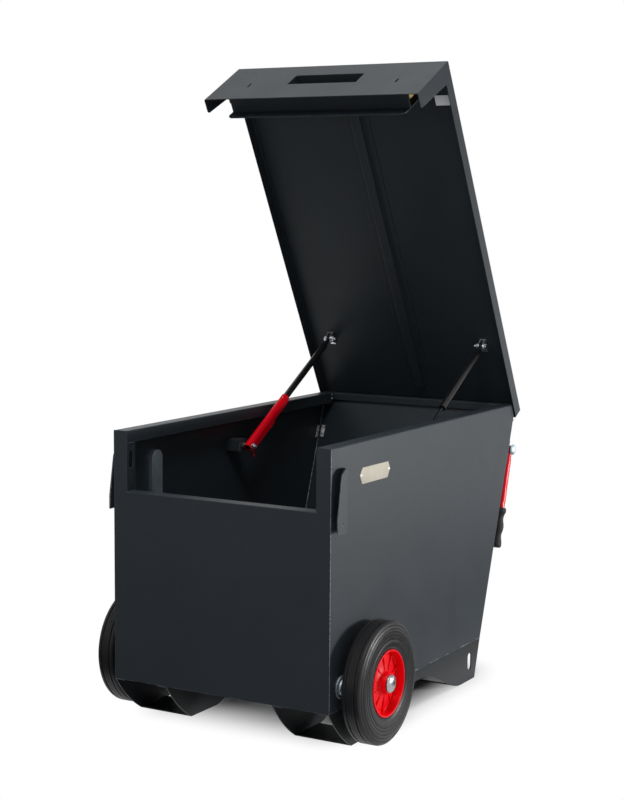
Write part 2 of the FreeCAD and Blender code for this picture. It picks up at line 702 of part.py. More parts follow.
def hub():
    """Moulded wheel centre: a rim, a dished web, a boss and radial ribs outside."""
    half = HUB_WIDTH / 2
    bore = AXLE_RADIUS + RUNNING_GAP + BUSH_WALL
    boss_out = boss_end()
    boss_in = WHEEL_X - half
    rim_in = HUB_RADIUS - HUB_RIM
    web_x = WHEEL_X + half - HUB_WEB_DEPTH
    profile = [
        (boss_in, bore),
        (boss_out, bore),
        (boss_out, HUB_BOSS_RADIUS),
        (web_x + HUB_DISH, HUB_BOSS_RADIUS),
        (web_x, rim_in),
        (WHEEL_X + half, rim_in),
        (WHEEL_X + half, HUB_RADIUS),
        (WHEEL_X - half, HUB_RADIUS),
        (WHEEL_X - half, rim_in),
        (web_x - HUB_WEB, rim_in),
        (web_x + HUB_DISH - HUB_WEB, HUB_BOSS_RADIUS),
        (boss_in, HUB_BOSS_RADIUS),
    ]
    whole = turned_x(profile, WHEEL_Y, WHEEL_RADIUS)
    overlap = HUB_RIM / 2
    fin = [
        (web_x - HUB_WEB / 2, rim_in + overlap),
        (web_x + HUB_DISH - HUB_WEB / 2, HUB_BOSS_RADIUS - overlap),
        (boss_out - HUB_RIM, HUB_BOSS_RADIUS - overlap),
        (boss_out - HUB_RIM, HUB_BOSS_RADIUS + overlap),
        (WHEEL_X + half - HUB_RIB_DROP, rim_in + overlap),
    ]
    rib = along_y(fin, -HUB_RIB / 2, HUB_RIB / 2)
    rib.translate(FreeCAD.Vector(0, WHEEL_Y, WHEEL_RADIUS))
    ribs = []
    centre = FreeCAD.Vector(0, WHEEL_Y, WHEEL_RADIUS)
    for index in range(HUB_RIBS):
        turned = rib.copy()
        turned.rotate(centre, FreeCAD.Vector(1, 0, 0), math.degrees(math.tau) * index / HUB_RIBS)
        ribs.append(turned)
    return joined([whole] + ribs)


def bush():
    """Plain bearing bush pressed into the boss."""
    bore = AXLE_RADIUS + RUNNING_GAP
    low = WHEEL_X - HUB_WIDTH / 2
    high = boss_end()
    outer = rod_x(bore + BUSH_WALL - RUNNING_GAP, low, high, WHEEL_Y, WHEEL_RADIUS)
    return outer.cut(rod_x(bore, low, high, WHEEL_Y, WHEEL_RADIUS))


def axle_ends():
    """Where the axle starts inside its strap and where it ends outside the wheel."""
    low = HALF_WIDTH - STRAP_DEPTH
    high = boss_end() + AXLE_END
    return low, high


def axle_cap():
    """Domed cap pushed on the axle's end, which keeps the wheel on."""
    base = boss_end() + WORKING_GAP
    top = base + CAP_HEIGHT
    dome = turned_x([
        (base, 0),
        (base, CAP_RADIUS),
        (base + CAP_RIM, CAP_RADIUS),
        (top, CAP_RADIUS / 2),
        (top, 0),
    ], WHEEL_Y, WHEEL_RADIUS)
    return dome.cut(rod_x(AXLE_RADIUS, *axle_ends(), WHEEL_Y, WHEEL_RADIUS))


def stub_axle():
    """Turned axle with a head inside its strap and a collar between wall and wheel."""
    low, high = axle_ends()
    collar_end = WHEEL_X - HUB_WIDTH / 2 - WORKING_GAP
    return turned_x([
        (low, 0),
        (low, AXLE_HEAD_RADIUS),
        (HALF_WIDTH - SHEET, AXLE_HEAD_RADIUS),
        (HALF_WIDTH - SHEET, AXLE_RADIUS),
        (HALF_WIDTH, AXLE_RADIUS),
        (HALF_WIDTH, AXLE_COLLAR_RADIUS),
        (collar_end, AXLE_COLLAR_RADIUS),
        (collar_end, AXLE_RADIUS),
        (high, AXLE_RADIUS),
        (high, 0),
    ], WHEEL_Y, WHEEL_RADIUS)


def side_bolt():
    """Round bolt with a wide flat head, standing out from the side wall."""
    neck = HALF_WIDTH + SIDE_BOLT_RISE
    head = neck + SIDE_BOLT_HEAD
    return turned_x([
        (HALF_WIDTH, 0),
        (HALF_WIDTH, SIDE_BOLT_STEM_RADIUS),
        (neck, SIDE_BOLT_STEM_RADIUS),
        (neck, SIDE_BOLT_RADIUS),
        (head, SIDE_BOLT_RADIUS),
        (head, 0),
    ], SIDE_BOLT_Y, SIDE_BOLT_Z)


# Gas struts

def lid_point(s, d):
    """Closed lid's point s from its rear edge and d below its top, as (y, z)."""
    return LID_REAR_Y - s, LID_TOP_Z - d


def turned_point(y, z, degrees):
    """The point y, z turned about the lid's hinge."""
    angle = math.radians(degrees)
    dy = y - HINGE_Y
    dz = z - HINGE_Z
    new_y = HINGE_Y + dy * math.cos(angle) - dz * math.sin(angle)
    new_z = HINGE_Z + dy * math.sin(angle) + dz * math.cos(angle)
    return new_y, new_z


def strut_pose(lid_degrees):
    """Upper end, length and slope of a strut with the lid raised by an angle."""
    y, z = turned_point(*lid_point(STRUT_UPPER_S, STRUT_UPPER_D), -lid_degrees)
    dy = y - STRUT_LOWER_Y
    dz = z - STRUT_LOWER_Z
    return (y, z), math.hypot(dy, dz), math.degrees(math.atan2(dz, dy))


def place_strut(shape):
    """Turns a strut piece from its own frame to the open lid's strut line."""
    (y, z), length, slope = strut_pose(LID_OPEN)
    placed = shape.copy()
    placed.rotate(FreeCAD.Vector(0, 0, 0), FreeCAD.Vector(1, 0, 0), slope)
    placed.translate(FreeCAD.Vector(0, y, z))
    return placed


def turned_strut(points):
    """Solid turned about the strut's line. Points are (distance from the top eye, radius)."""
    face = rounded_face([(-t, radius) for t, radius in points], on_yz)
    solid = face.revolve(FreeCAD.Vector(0, 0, 0), FreeCAD.Vector(0, 1, 0), 360)
    solid.translate(FreeCAD.Vector(STRUT_X, 0, 0))
    return solid


def strut_eye(t, radius):
    """Round eye across the strut with a bore for its bolt."""
    return rod_x(radius, STRUT_X - EYE_WIDTH / 2, STRUT_X + EYE_WIDTH / 2, -t, 0)


def eye_bore(t):
    """Hole for a strut's bolt."""
    return rod_x(STRUT_BOLT_RADIUS + RUNNING_GAP, STRUT_X - OVERRUN, STRUT_X + OVERRUN, -t, 0)


def strut_cylinder():
    """Gas cylinder with its top eye, its bore, a gland for the rod and a cap groove."""
    bore = CYLINDER_RADIUS - CYLINDER_WALL
    end = CYLINDER_LENGTH
    groove = end - GROOVE_SETBACK
    tube = turned_strut([
        (EYE_SHANK, 0),
        (EYE_SHANK, CYLINDER_RADIUS),
        (groove, CYLINDER_RADIUS),
        (groove, CYLINDER_RADIUS - GROOVE_DEPTH),
        (groove + GROOVE_WIDTH, CYLINDER_RADIUS - GROOVE_DEPTH),
        (groove + GROOVE_WIDTH, CYLINDER_RADIUS),
        (end, CYLINDER_RADIUS),
        (end, ROD_RADIUS + RUNNING_GAP),
        (end - CYLINDER_GLAND, ROD_RADIUS + RUNNING_GAP),
        (end - CYLINDER_GLAND, bore),
        (EYE_SHANK + CYLINDER_HEAD, bore),
        (EYE_SHANK + CYLINDER_HEAD, 0),
    ])
    shank = turned_strut([(0, 0), (0, EYE_SHANK_RADIUS), (EYE_SHANK, EYE_SHANK_RADIUS), (EYE_SHANK, 0)])
    width = (STRUT_X - EYE_WIDTH / 2, STRUT_X + EYE_WIDTH / 2)
    shank = shank.common(box(width, (-EYE_SHANK, 0), (-EYE_SHANK_RADIUS, EYE_SHANK_RADIUS)))
    return joined([tube, shank, strut_eye(0, UPPER_EYE_RADIUS)]).cut(eye_bore(0))


def strut_rod():
    """Piston rod with its piston and its bottom eye."""
    length = strut_pose(LID_OPEN)[1]
    piston_end = CYLINDER_LENGTH - CYLINDER_GLAND - PISTON_SETBACK
    piston = piston_end - PISTON_LENGTH
    shank = length - EYE_SHANK
    bar = turned_strut([
        (piston, 0),
        (piston, CYLINDER_RADIUS - CYLINDER_WALL - RUNNING_GAP),
        (piston_end, CYLINDER_RADIUS - CYLINDER_WALL - RUNNING_GAP),
        (piston_end, ROD_RADIUS),
        (shank, ROD_RADIUS),
        (shank, EYE_SHANK_RADIUS),
        (length, EYE_SHANK_RADIUS),
        (length, 0),
    ])
    return joined([bar, strut_eye(length, LOWER_EYE_RADIUS)]).cut(eye_bore(length))


def strut_pin():
    """Lower bolt with a nut on each side of the eye and its sleeve."""
    length = strut_pose(LID_OPEN)[1]
    clamp = CYLINDER_RADIUS + SLEEVE_GAP + SLEEVE_SHEET + WORKING_GAP
    outer_end = BLOCK_X - WORKING_GAP
    nuts = [(STRUT_X - clamp - STRUT_NUT, STRUT_X - clamp), (STRUT_X + clamp, outer_end)]
    pieces = [rod_x(STRUT_BOLT_RADIUS, nuts[0][0] - STRUT_BOLT_TIP, outer_end, -length, 0)]
    for low, high in nuts:
        pieces.append(nut_x(STRUT_NUT_RADIUS, low, high, -length, 0))
    return joined(pieces)


def safety_sleeve():
    """Channel over the left rod, open below, deeper near the bolt, with a hook at its end."""
    length = strut_pose(LID_OPEN)[1]
    inner = CYLINDER_RADIUS + SLEEVE_GAP
    outer = inner + SLEEVE_SHEET
    start = CYLINDER_LENGTH + SLEEVE_CYLINDER_GAP
    end = length + SLEEVE_TAIL
    step = length - SLEEVE_STEP_FROM_BOLT
    backs = []
    for radius in (outer, inner):
        face = rounded_face([
            (-radius, -SLEEVE_DEEP - OVERRUN),
            (radius, -SLEEVE_DEEP - OVERRUN),
            (radius, radius, radius * ROUND_END_SHARE),
            (-radius, radius, radius * ROUND_END_SHARE),
        ], on_xz)
        face.translate(FreeCAD.Vector(STRUT_X, -end, 0))
        backs.append(face.extrude(FreeCAD.Vector(0, end - start, 0)))
    channel = backs[0].cut(backs[1])
    side = [
        (-start, outer + OVERRUN),
        (-end, outer + OVERRUN),
        (-end, -SLEEVE_DEEP, SLEEVE_STEP_RUN),
        (-step - SLEEVE_STEP_RUN, -SLEEVE_DEEP, SLEEVE_STEP_RUN / 2),
        (-step, -SLEEVE_SHALLOW, SLEEVE_STEP_RUN / 2),
        (-start, -SLEEVE_SHALLOW, SLEEVE_STEP_RUN),
    ]
    channel = channel.common(along_x(side, 0, HALF_WIDTH))
    hook_x = STRUT_X - outer
    tip = -SLEEVE_DEEP - SLEEVE_HOOK_LENGTH
    hook = along_x([
        (-end + SLEEVE_STEP_RUN, -SLEEVE_DEEP / 2),
        (-end + SLEEVE_STEP_RUN, -SLEEVE_DEEP, SLEEVE_HOOK_WIDTH),
        (-end, tip, SLEEVE_HOOK_WIDTH / 2),
        (-end + SLEEVE_HOOK_WIDTH, tip - SLEEVE_HOOK_WIDTH / 2, SLEEVE_HOOK_WIDTH / 2),
        (-end + SLEEVE_STEP_RUN + SLEEVE_HOOK_WIDTH, -SLEEVE_DEEP, SLEEVE_HOOK_WIDTH),
        (-end + SLEEVE_STEP_RUN + SLEEVE_HOOK_WIDTH, -SLEEVE_DEEP / 2),
    ], hook_x, hook_x + SLEEVE_SHEET)
    hole_t = start + SLEEVE_HOLE_SETBACK
    hole = Part.makeCylinder(SLEEVE_HOLE_RADIUS, outer + OVERRUN, FreeCAD.Vector(STRUT_X, -hole_t, 0))
    return joined([channel, hook]).cut(hole).cut(eye_bore(length))


def strut_clevis():
    """Welded base with two round ears that hold the strut's top eye."""
    y, z = lid_point(STRUT_UPPER_S, STRUT_UPPER_D)
    ear_gap = EYE_WIDTH / 2 + WORKING_GAP
    reach = ear_gap + CLEVIS_EAR
    front = y - CLEVIS_BASE_FORWARD
    pieces = [box((STRUT_X - reach, STRUT_X + reach), (front, front + CLEVIS_BASE_LENGTH),
                  (LID_INNER_Z - CLEVIS_EAR, LID_INNER_Z))]
    for low in (STRUT_X - reach, STRUT_X + ear_gap):
        plate = along_x([
            (y - CLEVIS_EAR_RADIUS, z),
            (y + CLEVIS_EAR_RADIUS, z),
            (y + CLEVIS_BASE_LENGTH - CLEVIS_BASE_FORWARD, LID_INNER_Z),
            (front, LID_INNER_Z),
        ], low, low + CLEVIS_EAR)
        pieces += [plate, rod_x(CLEVIS_EAR_RADIUS, low, low + CLEVIS_EAR, y, z)]
    hole = rod_x(STRUT_BOLT_RADIUS, STRUT_X - OVERRUN, STRUT_X + OVERRUN, y, z)
    return joined(pieces).cut(hole)


def clevis_bolt():
    """Bolt through the ears with its head outside and its nut and tip inside."""
    y, z = lid_point(STRUT_UPPER_S, STRUT_UPPER_D)
    reach = EYE_WIDTH / 2 + WORKING_GAP + CLEVIS_EAR
    shaft = rod_x(STRUT_BOLT_RADIUS, STRUT_X - reach - STRUT_NUT - STRUT_BOLT_TIP, STRUT_X + reach, y, z)
    head = nut_x(STRUT_NUT_RADIUS, STRUT_X + reach, STRUT_X + reach + STRUT_NUT, y, z)
    nut = nut_x(STRUT_NUT_RADIUS, STRUT_X - reach - STRUT_NUT, STRUT_X - reach, y, z)
    return joined([shaft, head, nut])


# Lid, modelled closed

def lid_skin():
    """Lid pan with a deep front flange, two front legs, a handle slot and key slots."""
    depth = LID_TOP_Z - LID_FLANGE
    bottom = LID_TOP_Z - LID_FRONT_FLANGE
    pan = None
    for margin in (0, SHEET):
        half = LID_HALF_WIDTH - margin
        y_range = (LID_FRONT_Y + margin, LID_REAR_Y - margin)
        block = box((-half, half), y_range, (bottom - OVERRUN, LID_TOP_Z - margin))
        folds = [edge for edge in block.Edges if edge.BoundBox.ZMax > bottom]
        block = block.makeFillet(BEND + SHEET - margin, folds)
        pan = block if pan is None else pan.cut(block)
    leg_rear = LID_FRONT_Y + LEG_DEPTH
    side = [
        (LID_FRONT_Y - OVERRUN, bottom),
        (leg_rear - LEG_TAPER, bottom, LEG_CORNER),
        (leg_rear, depth),
        (LID_REAR_Y + OVERRUN, depth),
        (LID_REAR_Y + OVERRUN, LID_TOP_Z + OVERRUN),
        (LID_FRONT_Y - OVERRUN, LID_TOP_Z + OVERRUN),
    ]
    pan = pan.common(along_x(side, -LID_HALF_WIDTH - OVERRUN, LID_HALF_WIDTH + OVERRUN))
    y_cut = (LID_FRONT_Y - OVERRUN, LID_FRONT_Y + SHEET + WORKING_GAP)
    z_slot = (LID_TOP_Z - HANDLE_SLOT_BOTTOM_D, LID_TOP_Z - HANDLE_SLOT_TOP_D)
    slot = rectangle((-HANDLE_SLOT_WIDTH / 2, HANDLE_SLOT_WIDTH / 2), z_slot, BEND)
    pan = pan.cut(along_y(slot, *y_cut))
    for x in (-KEYHOLE_X, KEYHOLE_X):
        key = slot_points(x, LID_TOP_Z - KEYHOLE_D, KEYHOLE_WIDTH, KEYHOLE_HEIGHT)
        pan = pan.cut(along_y(key, *y_cut))
    return pan


def handle_cup():
    """Folded cup behind the handle slot, with a welding flange round its mouth."""
    front = LID_FRONT_Y + SHEET
    half = HANDLE_SLOT_WIDTH / 2
    low = LID_TOP_Z - HANDLE_SLOT_BOTTOM_D
    high = LID_TOP_Z - HANDLE_SLOT_TOP_D
    blocks = []
    for margin, depth in ((CUP_SHEET, CUP_DEPTH), (CUP_SHEET + CUP_FLANGE, CUP_SHEET)):
        outline = rectangle((-half - margin, half + margin), (low - margin, high + margin), BEND + CUP_SHEET)
        blocks.append(along_y(outline, front, front + depth))
    inner = along_y(rectangle((-half, half), (low, high), BEND), front, front + CUP_DEPTH - CUP_SHEET)
    return joined(blocks).cut(inner)


def lid_skirt():
    """Back panel of the lock housing, and the shelf that rests over the dropped front edge."""
    top = LID_INNER_Z
    bottom = LID_TOP_Z - SKIRT_BOTTOM_D
    shelf_z = LID_TOP_Z - SKIRT_SHELF_D
    path = [(SKIRT_Y - SKIRT_TOP_FLANGE, top - SHEET), (SKIRT_Y, top - SHEET), (SKIRT_Y, bottom)]
    plate = along_x(folded(path), -SKIRT_HALF_WIDTH, SKIRT_HALF_WIDTH)
    outline = [
        (-SKIRT_HALF_WIDTH, bottom, SKIRT_CORNER),
        (SKIRT_HALF_WIDTH, bottom, SKIRT_CORNER),
        (SKIRT_HALF_WIDTH, top + OVERRUN),
        (-SKIRT_HALF_WIDTH, top + OVERRUN),
    ]
    plate = plate.common(along_y(outline, 0, SKIRT_Y + OVERRUN))
    shelf = rectangle((LID_FRONT_Y + SHEET, SKIRT_Y + SHEET / 2), (shelf_z, shelf_z + SHEET))
    return joined([plate, along_x(shelf, -SKIRT_HALF_WIDTH, SKIRT_HALF_WIDTH)])


def lid_stiffener():
    """Hat-shaped stiffener along the lid's inner skin."""
    base = LID_INNER_Z - STIFFENER_SHEET
    low = LID_INNER_Z - STIFFENER_HEIGHT
    half = STIFFENER_FACE / 2
    foot = half + STIFFENER_FLARE
    path = [
        (STIFFENER_X - foot - STIFFENER_FLANGE, base),
        (STIFFENER_X - foot, base),
        (STIFFENER_X - half, low),
        (STIFFENER_X + half, low),
        (STIFFENER_X + foot, base),
        (STIFFENER_X + foot + STIFFENER_FLANGE, base),
    ]
    front = SKIRT_Y + SHEET + STIFFENER_FLARE
    return along_y(folded(path, STIFFENER_SHEET, STIFFENER_SHEET), front, LID_REAR_Y - STIFFENER_REAR_S)


def lock_case():
    """Mortice lock case behind the front flange, with its forend plate and two pillars."""
    low = LID_TOP_Z - LOCK_CASE_BOTTOM_D
    high = LID_TOP_Z - LOCK_CASE_TOP_D
    half = LOCK_CASE_THICKNESS / 2
    case_end = FOREND_X - FOREND_SHEET
    outer = box((LOCK_CASE_X, case_end), (LOCK_SLOT_Y - half, LOCK_SLOT_Y + half), (low, high))
    wall = LOCK_CASE_WALL
    inner = box((LOCK_CASE_X + wall, case_end), (LOCK_SLOT_Y - half + wall, LOCK_SLOT_Y + half - wall),
                (low + wall, high - wall))
    plate_z = (LID_TOP_Z - FOREND_BOTTOM_D, LID_TOP_Z - FOREND_TOP_D)
    plate_y = (LOCK_SLOT_Y - FOREND_WIDTH / 2, LOCK_SLOT_Y + FOREND_WIDTH / 2)
    plate = box((case_end, FOREND_X), plate_y, plate_z)
    mouth_y = LOCK_BOLT_THICKNESS / 2 + WORKING_GAP
    mouth_z = LOCK_BOLT_HEIGHT / 2 + WORKING_GAP
    mouth = box((case_end - WORKING_GAP, FOREND_X + OVERRUN), (LOCK_SLOT_Y - mouth_y, LOCK_SLOT_Y + mouth_y),
                (LOCK_Z - mouth_z, LOCK_Z + mouth_z))
    pieces = [outer.cut(inner), plate]
    for z in (low + LOCK_PILLAR_INSET, high - LOCK_PILLAR_INSET):
        start = FreeCAD.Vector(LOCK_CASE_X + LOCK_PILLAR_INSET, LID_FRONT_Y + SHEET, z)
        reach = LOCK_SLOT_Y - half - start.y
        pieces.append(Part.makeCylinder(LOCK_PILLAR_RADIUS, reach, start, FreeCAD.Vector(0, 1, 0)))
    return joined(pieces).cut(mouth)


def lock_bolt():
    """Deadbolt, drawn back flush with the forend."""
    half = LOCK_BOLT_THICKNESS / 2
    tall = LOCK_BOLT_HEIGHT / 2
    x_range = (FOREND_X - LOCK_BOLT_LENGTH, FOREND_X - WORKING_GAP)
    return box(x_range, (LOCK_SLOT_Y - half, LOCK_SLOT_Y + half), (LOCK_Z - tall, LOCK_Z + tall))


# Hinge

def knuckle_spans(first):
    """Every second knuckle's span along X, from the given one."""
    pitch = 2 * HINGE_HALF_WIDTH / KNUCKLES
    spans = []
    for index in range(first, KNUCKLES, 2):
        start = -HINGE_HALF_WIDTH + index * pitch
        spans.append((start + KNUCKLE_GAP / 2, start + pitch - KNUCKLE_GAP / 2))
    return spans


def hinge_leaf(first, gap, length):
    """Leaf that lies gap in front of the hinge axis and reaches down, with its knuckles."""
    clear = KNUCKLE_RADIUS + WORKING_GAP
    across = (HINGE_Y - gap, HINGE_Y - gap + HINGE_LEAF)
    top = HINGE_Z - clear
    pieces = [box((-HINGE_HALF_WIDTH, HINGE_HALF_WIDTH), across, (top - length, top))]
    for low, high in knuckle_spans(first):
        pieces.append(box((low, high), across, (top, HINGE_Z)))
        pieces.append(rod_x(KNUCKLE_RADIUS, low, high, HINGE_Y, HINGE_Z))
    bore = rod_x(HINGE_PIN_RADIUS + RUNNING_GAP, -HALF_WIDTH, HALF_WIDTH, HINGE_Y, HINGE_Z)
    return joined(pieces).cut(bore)


def hinge_leaf_body():
    """Leaf on the slanted rear wall."""
    leaf = hinge_leaf(0, HINGE_WALL_GAP, HINGE_LEAF_LENGTH)
    leaf.rotate(FreeCAD.Vector(0, HINGE_Y, HINGE_Z), FreeCAD.Vector(1, 0, 0), -SLANT)
    return leaf


def hinge_leaf_lid():
    """Leaf on the inside of the lid's rear flange."""
    room = LID_INNER_Z - BEND - HINGE_Z - KNUCKLE_RADIUS - 2 * WORKING_GAP
    leaf = hinge_leaf(1, HINGE_FLANGE_GAP, min(HINGE_LEAF_LENGTH, room))
    leaf.rotate(FreeCAD.Vector(0, HINGE_Y, HINGE_Z), FreeCAD.Vector(1, 0, 0), 180)
    return leaf


def hinge_pin():
    """Pin through all knuckles."""
    return rod_x(HINGE_PIN_RADIUS, -HINGE_HALF_WIDTH, HINGE_HALF_WIDTH, HINGE_Y, HINGE_Z)


# Handles

def handle_y():
    """Handle's pivot behind the rear wall."""
    return rear_y(HANDLE_Z) + HANDLE_STANDOFF


def handle_bracket():
    """Base plate on the rear wall with a round-ended lug for the handle's bolt."""
    low = HANDLE_Z - BRACKET_HALF_HEIGHT
    high = HANDLE_Z + BRACKET_HALF_HEIGHT
    thick = BRACKET_PLATE / math.cos(math.radians(SLANT))
    plate = [
        (rear_y(low), low),
        (rear_y(low) + thick, low),
        (rear_y(high) + thick, high),
        (rear_y(high), high),
    ]
    base = along_x(plate, HANDLE_X - BRACKET_HALF_WIDTH, HANDLE_X + BRACKET_HALF_WIDTH)
    foot = HANDLE_Z - LUG_SPREAD
    head = HANDLE_Z + LUG_SPREAD
    neck = [
        (rear_y(foot), foot),
        (handle_y(), HANDLE_Z - LUG_NECK),
        (handle_y(), HANDLE_Z + LUG_NECK),
        (rear_y(head), head),
    ]
    x_range = (HANDLE_X - LUG_THICKNESS / 2, HANDLE_X + LUG_THICKNESS / 2)
    lug = along_x(neck, *x_range)
    nose = rod_x(LUG_RADIUS, *x_range, handle_y(), HANDLE_Z)
    hole = rod_x(HANDLE_BOLT_RADIUS, HANDLE_X - OVERRUN, HANDLE_X + OVERRUN, handle_y(), HANDLE_Z)
    return joined([base, lug, nose]).cut(hole)


def handle_bolt():
    """Cross bolt with a domed head outside and a nut inside."""
    reach = HANDLE_TUBE_RADIUS + WORKING_GAP
    head_x = HANDLE_X + reach
    head = turned_x([
        (head_x, 0),
        (head_x, HANDLE_HEAD_RADIUS),
        (head_x + HANDLE_HEAD / 2, HANDLE_HEAD_RADIUS),
        (head_x + HANDLE_HEAD, HANDLE_HEAD_RADIUS / 2),
        (head_x + HANDLE_HEAD, 0),
    ], handle_y(), HANDLE_Z)
    nut_end = HANDLE_X - reach - HANDLE_NUT
    shaft = rod_x(HANDLE_BOLT_RADIUS, nut_end, head_x, handle_y(), HANDLE_Z)
    nut = nut_x(HANDLE_HEAD_RADIUS, nut_end, HANDLE_X - reach, handle_y(), HANDLE_Z)
    return joined([shaft, head, nut])


def place_handle(shape):
    """Moves a handle piece, made hanging straight down from the origin, to its pivot."""
    placed = shape.copy()
    placed.rotate(FreeCAD.Vector(0, 0, 0), FreeCAD.Vector(1, 0, 0), -HANDLE_LEAN)
    placed.translate(FreeCAD.Vector(HANDLE_X, handle_y(), HANDLE_Z))
    return placed


def handle_tube():
    """Tube with two round lobes on its bolt and a slot in front for the lug."""
    outer = HANDLE_TUBE_RADIUS
    tube = turned_z([
        (HANDLE_BORE, -HANDLE_TUBE_LENGTH),
        (outer, -HANDLE_TUBE_LENGTH),
        (outer, HANDLE_LOBE_RADIUS),
        (HANDLE_BORE, HANDLE_LOBE_RADIUS),
    ], 0, 0)
    top = box((-outer, outer), (-outer, outer), (-HANDLE_REAR_CUT, outer))
    top = top.cut(rod_x(HANDLE_LOBE_RADIUS, -outer, outer, 0, 0))
    slot_half = LUG_THICKNESS / 2 + WORKING_GAP
    slot = box((-slot_half, slot_half), (-outer, 0), (-HANDLE_FRONT_CUT, outer))
    hole = rod_x(HANDLE_BOLT_RADIUS + RUNNING_GAP, -outer - OVERRUN, outer + OVERRUN, 0, 0)
    return place_handle(tube.cut(top).cut(slot).cut(hole))


def handle_grip():
    """Moulded grip with a collar and one finger waist, closed at its end."""
    start = -GRIP_START
    end = start - GRIP_LENGTH
    bore = HANDLE_TUBE_RADIUS + RUNNING_GAP
    neck = start - GRIP_COLLAR
    grip = turned_z([
        (bore, start),
        (GRIP_COLLAR_RADIUS, start),
        (GRIP_COLLAR_RADIUS, neck),
        (GRIP_RADIUS - GRIP_WAIST, (neck + end) / 2),
        (GRIP_RADIUS, end + GRIP_ROUND),
        (GRIP_RADIUS - GRIP_ROUND, end),
        (0, end),
        (0, -HANDLE_TUBE_LENGTH - WORKING_GAP),
        (bore, -HANDLE_TUBE_LENGTH - WORKING_GAP),
    ], 0, 0)
    return place_handle(grip)


# Whole box

def body_pieces():
    """Everything welded or bolted to the box."""
    pieces = {
        "front_panel": front_panel(),
        "rear_panel": rear_panel(),
        "floor_panel": floor_panel(),
        "hinge_leaf_body": hinge_leaf_body(),
        "hinge_pin": hinge_pin(),
    }
    axle = stub_axle()
    makers = (("runner", runner), ("guard", guard), ("axle_strap", axle_strap), ("axle_cap", axle_cap),
              ("side_bolt", side_bolt), ("strut_block", strut_block), ("corner_gusset", corner_gusset),
              ("handle_bracket", handle_bracket), ("handle_bolt", handle_bolt))
    pieces.update(both_sides("side_panel", side_panel().cut(axle)))
    pieces.update(both_sides("stub_axle", axle))
    for name, make in makers:
        pieces.update(both_sides(name, make()))
    return pieces


def wheel_pieces():
    """Both wheels."""
    pieces = {}
    for name, make in (("tyre", tyre), ("hub", hub), ("bush", bush)):
        pieces.update(both_sides(name, make()))
    return pieces


def handle_pieces():
    """Both swinging handles."""
    pieces = both_sides("handle_tube", handle_tube())
    pieces.update(both_sides("handle_grip", handle_grip()))
    return pieces


def lid_pieces():
    """The lid with all that is fixed to it or slides in it, turned open."""
    pieces = {
        "lid_skin": lid_skin(),
        "lid_skirt": lid_skirt(),
        "lid_stiffener": lid_stiffener(),
        "handle_cup": handle_cup(),
        "hinge_leaf_lid": hinge_leaf_lid(),
    }
    for name, make in (("strut_clevis", strut_clevis), ("clevis_bolt", clevis_bolt),
                       ("lock_case", lock_case), ("lock_bolt", lock_bolt)):
        pieces.update(both_sides(name, make()))
    for shape in pieces.values():
        shape.rotate(FreeCAD.Vector(0, HINGE_Y, HINGE_Z), FreeCAD.Vector(1, 0, 0), -LID_OPEN)
    return pieces


def strut_pieces():
    """Both gas struts and the safety sleeve on the left one."""
    pieces = {}
    makers = (("strut_cylinder", strut_cylinder), ("strut_rod", strut_rod), ("strut_pin", strut_pin))
    for name, make in makers:
        pieces.update(both_sides(name, place_strut(make())))
    pieces["safety_sleeve"] = both_sides("sleeve", place_strut(safety_sleeve()))["sleeve_left"]
    return pieces


def origin_shift(pieces):
    """Move that brings the middle of the whole's underside to the origin."""
    bounds = Part.Compound(list(pieces.values())).optimalBoundingBox(False, False)
    return FreeCAD.Vector(0, -bounds.Center.y, 0)


def all_pieces():
    """Every piece by its name, still in the modelling frame."""
    pieces = {}
    for group in (body_pieces, wheel_pieces, handle_pieces, lid_pieces, strut_pieces):
        pieces.update(group())
    return pieces


def main():
    pieces = all_pieces()
    shift = origin_shift(pieces)
    os.makedirs("parts", exist_ok=True)
    for name, shape in pieces.items():
        shape.translate(shift)
        shape.exportStep(os.path.join("parts", name + ".step"))
    print(len(pieces), "pieces, moved by", tuple(shift))


if __name__ == "__main__":
    main()
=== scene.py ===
import json
import math

import bmesh
import bpy
from mathutils import Matrix, Vector


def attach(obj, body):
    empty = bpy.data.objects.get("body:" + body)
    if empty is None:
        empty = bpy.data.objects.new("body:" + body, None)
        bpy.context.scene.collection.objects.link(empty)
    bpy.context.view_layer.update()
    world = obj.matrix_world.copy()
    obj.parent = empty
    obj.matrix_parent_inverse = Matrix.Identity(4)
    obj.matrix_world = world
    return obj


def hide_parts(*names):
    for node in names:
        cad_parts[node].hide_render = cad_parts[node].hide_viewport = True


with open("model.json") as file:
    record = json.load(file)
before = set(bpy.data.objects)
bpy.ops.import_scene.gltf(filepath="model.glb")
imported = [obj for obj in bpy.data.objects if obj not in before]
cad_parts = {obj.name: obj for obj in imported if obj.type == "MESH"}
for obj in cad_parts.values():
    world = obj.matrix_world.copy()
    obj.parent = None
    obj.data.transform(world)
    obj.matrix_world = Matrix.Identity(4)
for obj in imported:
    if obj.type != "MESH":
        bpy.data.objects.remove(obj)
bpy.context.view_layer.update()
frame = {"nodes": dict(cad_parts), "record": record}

bpy.context.scene.view_settings.view_transform = "Standard"
MM = 0.001
RIGHTWARDS = Vector((1, 0, 0))

# Helpers for node trees


def node(tree, kind, **values):
    """New node. Keywords that name an input socket set it, with _ for a space; the others set attributes."""
    made = tree.nodes.new(kind)
    for key, value in values.items():
        socket = key.replace("_", " ")
        if socket in made.inputs:
            made.inputs[socket].default_value = value
        else:
            setattr(made, key, value)
    return made


def new_finish(name, **values):
    """Material with a Principled shader set to the values given; returns material, tree and shader."""
    material = bpy.data.materials.new(name)
    material.use_nodes = True
    tree = material.node_tree
    tree.nodes.clear()
    output = node(tree, "ShaderNodeOutputMaterial")
    shader = node(tree, "ShaderNodeBsdfPrincipled", **values)
    tree.links.new(shader.outputs["BSDF"], output.inputs["Surface"])
    return material, tree, shader


